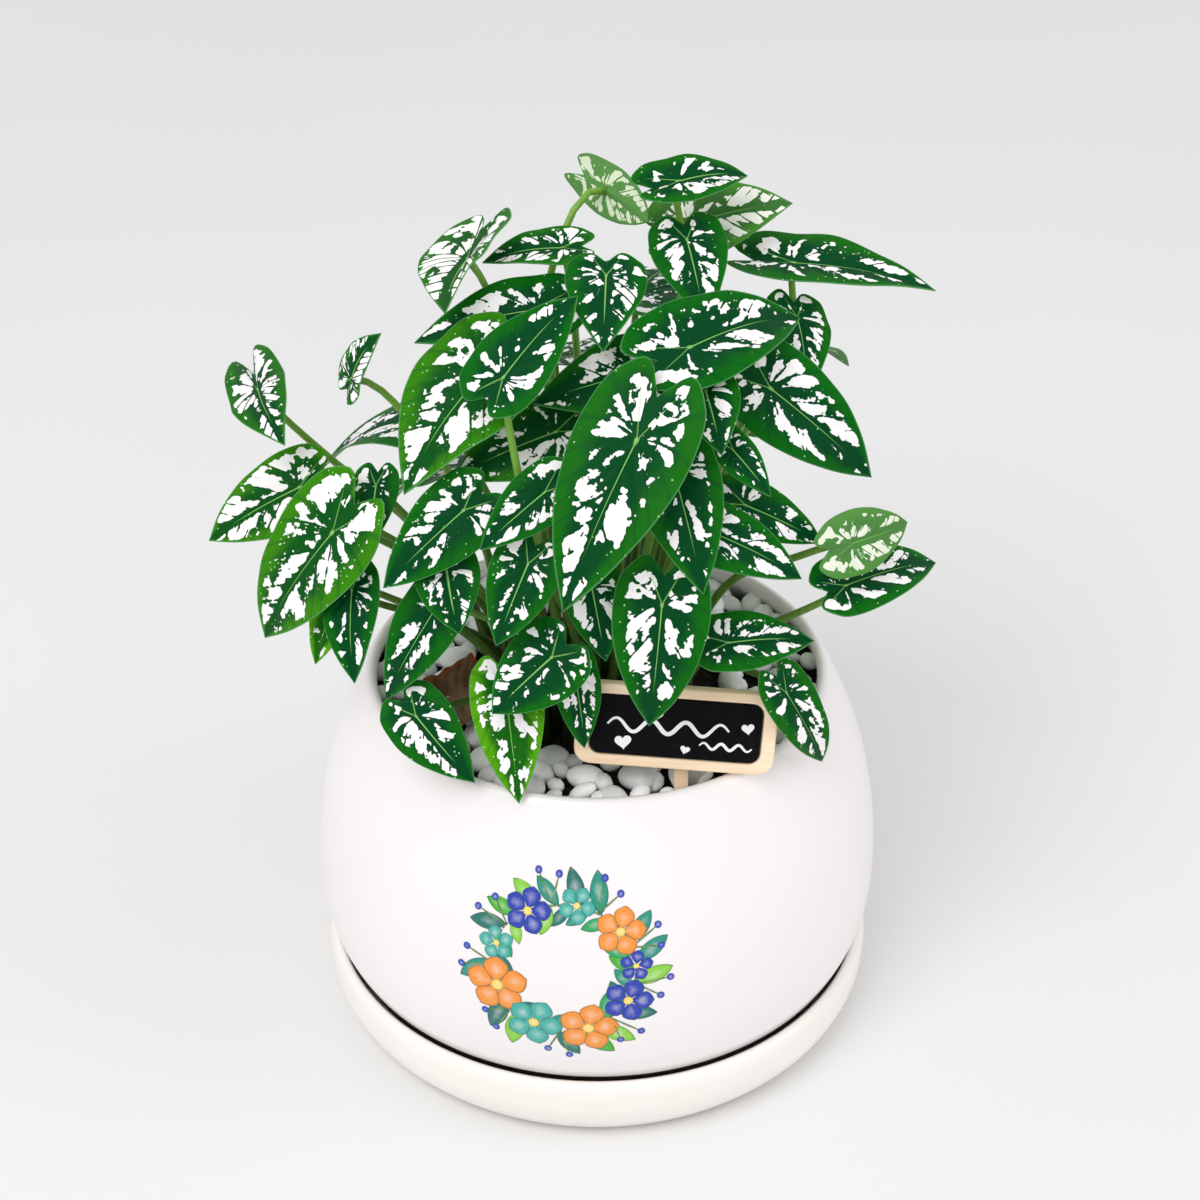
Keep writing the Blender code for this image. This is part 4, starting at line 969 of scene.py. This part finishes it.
# %% Smooth stones
CORNER_REACH = 6  # how much a corner rules the places near it
SMOOTH_SHRINK = 0.98  # a smooth stone stays inside the rough one
golden = (1 + math.sqrt(5)) / 2
corners = np.array([corner for a in (-1, 1) for b in (-golden, golden)
                    for corner in ((0, a, b), (a, b, 0), (b, 0, a))]) / math.hypot(1, golden)
ball = bmesh.new()
bmesh.ops.create_icosphere(ball, subdivisions=4, radius=1)
ball_points = corners_of(ball)
ball_faces = [[corner.index for corner in face.verts] for face in ball.faces]
ball.free()
near = np.exp(CORNER_REACH * (ball_points @ corners.T - 1))
near /= near.sum(axis=1, keepdims=True)
stones, tints = [], []
for spot in stone_places:
    size = rng.uniform(*PEBBLE_SIZE)
    turn = rng.uniform(0, math.tau)
    spin = np.array(((math.cos(turn), -math.sin(turn), 0), (math.sin(turn), math.cos(turn), 0), (0, 0, 1)))
    stretch = np.array(PEBBLE_STRETCH) * rng.uniform(0.9, 1.1, 3)
    rough = rng.uniform(0.9, 1.1, (12, 1))
    stone = ball_points * (near @ rough) * stretch * size * SMOOTH_SHRINK
    stones.append((stone @ spin.T + (*spot, BED_HIGH + PEBBLE_LIFT * size), ball_faces))
    tints.append(np.tile((math.sin(size * 90) * 0.5 + 0.5, turn, size), (len(ball_points), 1)))
print("each stone has", len(ball_faces), "triangles")

# %% Lay the pebbles
# Tumbled river pebbles: smooth and matt, white to grey, with faint clouding of 4.5 mm
tumbled_stone, tree, place = finish_of("tumbled_white_pebble", 0.5, 1.5)
kind = add(tree, "ShaderNodeAttribute", attribute_name="stone_kind").outputs["Vector"]
whiteness = add(tree, "ShaderNodeSeparateXYZ", kind).outputs["X"]
cloud = add(tree, "ShaderNodeTexNoise", place, 220.0, 4.0)
mixed = add(tree, "ShaderNodeMath", cloud, 0.6, whiteness, operation="MULTIPLY_ADD")
shade = add(tree, "ShaderNodeMapRange", mixed, 0.2, 0.95)
stone_colour = add(tree, "ShaderNodeMix", shade, colour("#c0c3c4"), colour("#ffffff"), data_type="RGBA")
coat(tree, stone_colour, cloud, 0.2, 0.3)
large = piece("tumbled_pebbles", *joined(stones), (tumbled_stone,),
              attributes={"stone_kind": np.vstack(tints)})
carried(large, "pebble_stone", "pebbles")
small = grown_by("small_stones", ring_ground(BED_INNER + 3, BED_OUTER + 1.2, BED_HIGH + 0.9), strewing, {
    "Spacing": 0.0046, "Density": 90000.0, "Smallest": 0.0024, "Largest": 0.0036, "Roundness": 2, "Seed": 9,
    "Finish": tumbled_stone})
carried(small, "pebble_stone")
print("pebbles:", made_triangles["tumbled_pebbles"] + made_triangles["small_stones"], "triangles")

# %% [markdown]
# ## The small sign
#
# A pale plywood plate with rounded corners has a shallow recess, and a black chalk panel lies in it. A thin
# stick behind the plate goes down into the soil. The three CAD solids have the right form, so each gets a
# copy with its edges eased, as sanding does, and its own finish. A few chalk marks are drawn on the panel:
# plain hearts and waves, each a thin closed shape, because real chalk stands up a little from the board.

# %% Wood and chalkboard
SIGN_AT, SIGN_LEAN, SIGN_ROLL = (19.5, -47.5, 116.5), 14, -4.5
# Birch plywood, sanded and bare: pale peach, with grain 0.7 mm and 4 mm wide, drawn out twelve times that
birch_ply, tree, place = finish_of("sanded_birch_ply", 0.62, 1.5)
laid = add(tree, "ShaderNodeMapping", place, inputs={"Rotation": (0, math.radians(SIGN_ROLL), 0),
                                                     "Scale": (0.08, 1, 1)})
grain = add(tree, "ShaderNodeTexNoise", laid, 1500.0, 3.0, 0.6)
broad = add(tree, "ShaderNodeTexNoise", laid, 260.0, 2.0)
both = add(tree, "ShaderNodeMath", grain, 0.5, broad, operation="MULTIPLY_ADD")
shade = add(tree, "ShaderNodeMapRange", both, 0.5, 1.0)
wood = add(tree, "ShaderNodeMix", shade, colour("#f0cfa9"), colour("#ffe9cc"), data_type="RGBA")
coat(tree, wood, grain, 0.15, 0.2)

# Chalkboard paint: matt black with a faint grey bloom of old chalk, cloudy at 3 mm
chalk_black, tree, place = finish_of("matt_chalkboard_paint", 0.85, 1.5, Specular_IOR_Level=0.15)
dust = add(tree, "ShaderNodeTexNoise", place, 300.0, 5.0, 0.7)
bloom = add(tree, "ShaderNodeMapRange", dust, 0.45, 0.8, 0.0, 0.4)
coat(tree, add(tree, "ShaderNodeMix", bloom, colour("#030306"), colour("#1d1d22"), data_type="RGBA"))

# White chalk: dry and powdery, with grains of 0.4 mm
chalk_white, tree, place = finish_of("dry_white_chalk", 0.9, 1.5)
dry = add(tree, "ShaderNodeTexNoise", place, 2500.0, 2.0)
coat(tree, add(tree, "ShaderNodeMix", dry, colour("#e6e6ea"), colour("#ffffff"), data_type="RGBA"))
print("finishes of the sign:", birch_ply.name, chalk_black.name, chalk_white.name)

# %% Eased copies of the sign's pieces
for name, node, slot, material, width in (
        ("plywood_sign_plate", "sign_plate", "pale_wood", birch_ply, 0.5),
        ("chalkboard_panel", "sign_board", "chalkboard", chalk_black, 0.15),
        ("plywood_sign_stick", "sign_stick", "pale_wood", birch_ply, 0.2)):
    shape = welded(node)
    bmesh.ops.dissolve_limit(shape, angle_limit=math.radians(1), verts=shape.verts, edges=shape.edges)
    mesh = bpy.data.meshes.new("sharp")
    shape.to_mesh(mesh)
    shape.free()
    mesh.materials.append(material)
    sharp = placed("sharp", mesh)
    bevel = sharp.modifiers.new("eased edges", "BEVEL")
    bevel.width, bevel.segments, bevel.limit_method = width * MM, 3, "ANGLE"
    bevel.angle_limit = math.radians(28)
    graph = bpy.context.evaluated_depsgraph_get()
    graph.update()
    smooth = bpy.data.meshes.new_from_object(sharp.evaluated_get(graph))
    bpy.data.objects.remove(sharp)
    carried(finished(name, smooth), slot, node)
    print(name, made_triangles[name], "triangles")


# %% Drawing on the sign
BOARD_FRONT = 1.3  # its face above the plate's middle
CHALK_FOOT, CHALK_THICK = 0.01, 0.06


def on_sign(x, y, z):
    """A point of the sign's own plane moved to where the sign stands."""
    lean, roll = math.radians(90 - SIGN_LEAN), math.radians(SIGN_ROLL)
    x, y = x * math.cos(roll) - y * math.sin(roll), x * math.sin(roll) + y * math.cos(roll)
    y, z = y * math.cos(lean) - z * math.sin(lean), y * math.sin(lean) + z * math.cos(lean)
    return x + SIGN_AT[0], y + SIGN_AT[1], z + SIGN_AT[2]


def drawn(outline):
    """A flat chalk mark: an outline in the sign's plane, raised by the thickness of the chalk."""
    flat = [np.mean(outline, axis=0), *outline]
    points = [on_sign(x, y, BOARD_FRONT + lift) for lift in (CHALK_THICK, CHALK_FOOT) for x, y in flat]
    return points, shell_faces(len(outline), 1)


def stroke(line, width):
    """A chalk line of a given width along points in the sign's plane, thinner at its ends."""
    way = unit(np.gradient(line, axis=0))
    side = np.column_stack([-way[:, 1], way[:, 0]]) * width / 2
    side *= np.sqrt(np.sin(math.pi * np.linspace(0.06, 0.94, len(line))))[:, None]
    around = ((1, CHALK_THICK), (-1, CHALK_THICK), (-1, CHALK_FOOT), (1, CHALK_FOOT))
    points = [on_sign(*(middle + hand * half), BOARD_FRONT + lift)
              for middle, half in zip(line, side) for hand, lift in around]
    return points, tube_faces(len(line), len(around))


print("the board's face is", [round(c, 1) for c in on_sign(0, 0, BOARD_FRONT)])

# %% Chalk hearts and waves
HEARTS = ((-12.8, -4.3, 2.2, 8), (2.6, -5.3, 1.3, -12), (17.6, 1.4, 1.7, 10), (-5, 3.4, 1.6, -5))
WAVES = ((-17, 13, 0.2, 1.7, 3.5, 1.1), (6, 19, -3.9, 0.8, 3, 0.8))  # from, to, at, height, waves, width
chalked = []
t = np.linspace(0, math.tau, 41)[:-1]
heart = np.column_stack([16 * np.sin(t)**3,
                         13 * np.cos(t) - 5 * np.cos(2 * t) - 2 * np.cos(3 * t) - np.cos(4 * t)])
for across, up, size, lean in HEARTS:
    turned = np.outer(heart[:, 0], direction(math.radians(lean)))
    turned += np.outer(heart[:, 1], direction(math.radians(lean + 90)))
    chalked.append(drawn(turned * size / 17 + (across, up)))
for from_x, to_x, at_y, high, waves, width in WAVES:
    t = np.linspace(0, 1, 80)
    wave = np.column_stack([from_x + (to_x - from_x) * t, at_y + high * np.sin(math.tau * waves * t)])
    chalked.append(stroke(wave, width))
carried(piece("chalk_marks", *joined(chalked), (chalk_white,), smooth=False), "chalkboard")
print("chalk marks:", made_triangles["chalk_marks"], "triangles")

# %% [markdown]
# ## The dead leaf
#
# One old leaf has dried on the pebbles. It is thin, brown and crumpled, with an orange edge where it dried
# last. The CAD model has it as a coarse crumpled sheet, and the fine sheet follows the same rule with more
# points.

# %% Form of the dead leaf
DRY_LEAF, DRY_LEAF_GRID, DRY_LEAF_TURN = (30, 20), (49, 37), 60
DRY_ABOVE, DRY_BELOW = 0.2, 0.15  # its faces off the sheet's middle
coarse = corners_of(welded("dry_leaf")) / MM
rows, columns = DRY_LEAF_GRID
length, width = DRY_LEAF
u, v = np.meshgrid(np.linspace(0, 1, rows), np.linspace(-0.5, 0.5, columns), indexing="ij")
half = width * (0.25 + 0.75 * np.sin(math.pi * (0.12 + 0.8 * u)))
x, y = (u - 0.5) * length, v * half
crumple = 1.5 * np.sin(5.1 * u + 6.5 * v) + 1.1 * np.sin(9.3 * u - 7 * v + 1) + 9 * v * v
wrinkle = 0.5 * np.sin(23 * u + 9 * v) * np.sin(17 * v - 6 * u) + 0.25 * np.sin(51 * u - 37 * v)
turn = math.radians(DRY_LEAF_TURN)
fine = np.stack([x * math.cos(turn) - y * math.sin(turn), x * math.sin(turn) + y * math.cos(turn), crumple],
                axis=-1).reshape(-1, 3)
fine += (coarse.max(axis=0) + coarse.min(axis=0)) / 2 - (fine.max(axis=0) + fine.min(axis=0)) / 2
fine[:, 2] += (wrinkle + 0.12 * np.sin(34 * u + 40 * np.abs(v))).reshape(-1)
sheets = np.vstack([fine + (0, 0, DRY_ABOVE), fine - (0, 0, DRY_BELOW)])
grid = np.arange(rows * columns).reshape(rows, columns)
quads = np.stack([grid[:-1, :-1], grid[1:, :-1], grid[1:, 1:], grid[:-1, 1:]], axis=-1)
faces = quads.reshape(-1, 4).tolist()
faces += [[i + len(fine) for i in reversed(face)] for face in faces]
loop = np.concatenate([grid[0, :], grid[1:, -1], grid[-1, -2::-1], grid[-2:0:-1, 0]])
after = np.roll(loop, -1)
faces += np.column_stack([after, loop, loop + len(fine), after + len(fine)]).tolist()
edge = np.maximum(np.abs(2 * u - 1), np.abs(2 * v)).reshape(-1)
print("the dead leaf is", np.round(np.ptp(fine, axis=0), 1), "mm")

# %% Lay the dead leaf
# Dead leaf: dry brown tissue, matt and blotched at 4 mm, orange along its edge
dead_tissue, tree, place = finish_of("dry_leaf_tissue", 0.8, 1.4)
spots = add(tree, "ShaderNodeTexNoise", place, 250.0, 4.0)
brown = add(tree, "ShaderNodeMix", spots, colour("#35241a"), colour("#8f7050"), data_type="RGBA")
rim = add(tree, "ShaderNodeAttribute", attribute_name="dry_place").outputs["Fac"]
at_edge = add(tree, "ShaderNodeMapRange", rim, 0.86, 1.0, 0.0, 0.8)
brown = add(tree, "ShaderNodeMix", at_edge, brown, colour("#a8502a"), data_type="RGBA")
coat(tree, brown, spots, 0.5, 0.6)
dead = piece("dead_leaf", sheets, faces, (dead_tissue,),
             attributes={"dry_place": np.tile(np.column_stack([edge, edge, edge]), (2, 1))})
carried(dead, "dry_leaf_brown", "dry_leaf")
print("the dead leaf has", made_triangles["dead_leaf"], "triangles")

# %% [markdown]
# ## Floor, light and camera
#
# The plant stands on a plain pale floor in a light tent: light comes from everywhere, with one larger soft
# source above and in front. The camera looks down by 33 degrees from 0.65 m away, as the ellipses of the
# rim and the saucer say.

# %% Floor
FLOOR_REACH = 20000  # millimetres; far enough that no edge shows from a low angle
FLOOR_HIGH = -0.2  # a hair below the saucer, so that the two faces don't flicker
floor_paper, tree, place = finish_of("pale_paper_floor", 0.9, 1.4)
faint = add(tree, "ShaderNodeTexNoise", place, 3.0, 2.0)
coat(tree, add(tree, "ShaderNodeMix", faint, colour("#e6e6e6"), colour("#ededed"), data_type="RGBA"))
sides = ((-1, -1), (1, -1), (1, 1), (-1, 1))
floor = piece("floor", [(x * FLOOR_REACH, y * FLOOR_REACH, FLOOR_HIGH) for x, y in sides], [(0, 1, 2, 3)],
              (floor_paper,))
print("the floor reaches", FLOOR_REACH * MM, "m each way")

# %% Light
TENT_STRENGTH = 0.78
world = bpy.data.worlds.new("light tent")
bpy.context.scene.world = world
world.use_nodes = True
world.node_tree.nodes["Background"].inputs["Color"].default_value = colour("#ffffff")
world.node_tree.nodes["Background"].inputs["Strength"].default_value = TENT_STRENGTH
for title, spot, aim, size, power in (("front softbox", (-0.5, -0.9, 1.3), (0, 0, 0.12), 0.9, 10),
                                      ("right fill", (1.2, -0.3, 0.7), (0, 0, 0.1), 0.8, 2.5)):
    light = bpy.data.lights.new(title, "AREA")
    light.shape, light.size, light.energy = "DISK", size, power
    lamp = placed(title, light)
    lamp.location = spot
    way = np.array(aim) - np.array(spot)
    lamp.rotation_euler = (math.atan2(math.hypot(way[0], way[1]), -way[2]), 0, math.atan2(-way[0], way[1]))
    print(title, power, "W from", spot)
bpy.context.scene.view_settings.view_transform = "Standard"

# %% Camera
VIEW_DISTANCE, VIEW_DROP, VIEW_TARGET, VIEW_SCALE = 650, math.radians(33), 123, 2490
PICTURE, SENSOR = 1200, 36
camera = bpy.data.cameras.new("camera")
camera.sensor_width = SENSOR
camera.lens = SENSOR * VIEW_SCALE / PICTURE
camera.shift_x = 3 / PICTURE  # the object stands three pixels left of the picture's middle
camera.clip_start, camera.clip_end = 0.01, 100
seen_by = placed("camera", camera)
seen_by.location = (0, -VIEW_DISTANCE * math.cos(VIEW_DROP) * MM,
                    (VIEW_TARGET + VIEW_DISTANCE * math.sin(VIEW_DROP)) * MM)
seen_by.rotation_euler = (math.pi / 2 - VIEW_DROP, 0, 0)
bpy.context.scene.camera = seen_by
print("the lens is", round(camera.lens, 1), "mm")

# %% Triangles added, and the end
print("triangles added:", sum(made_triangles.values()))
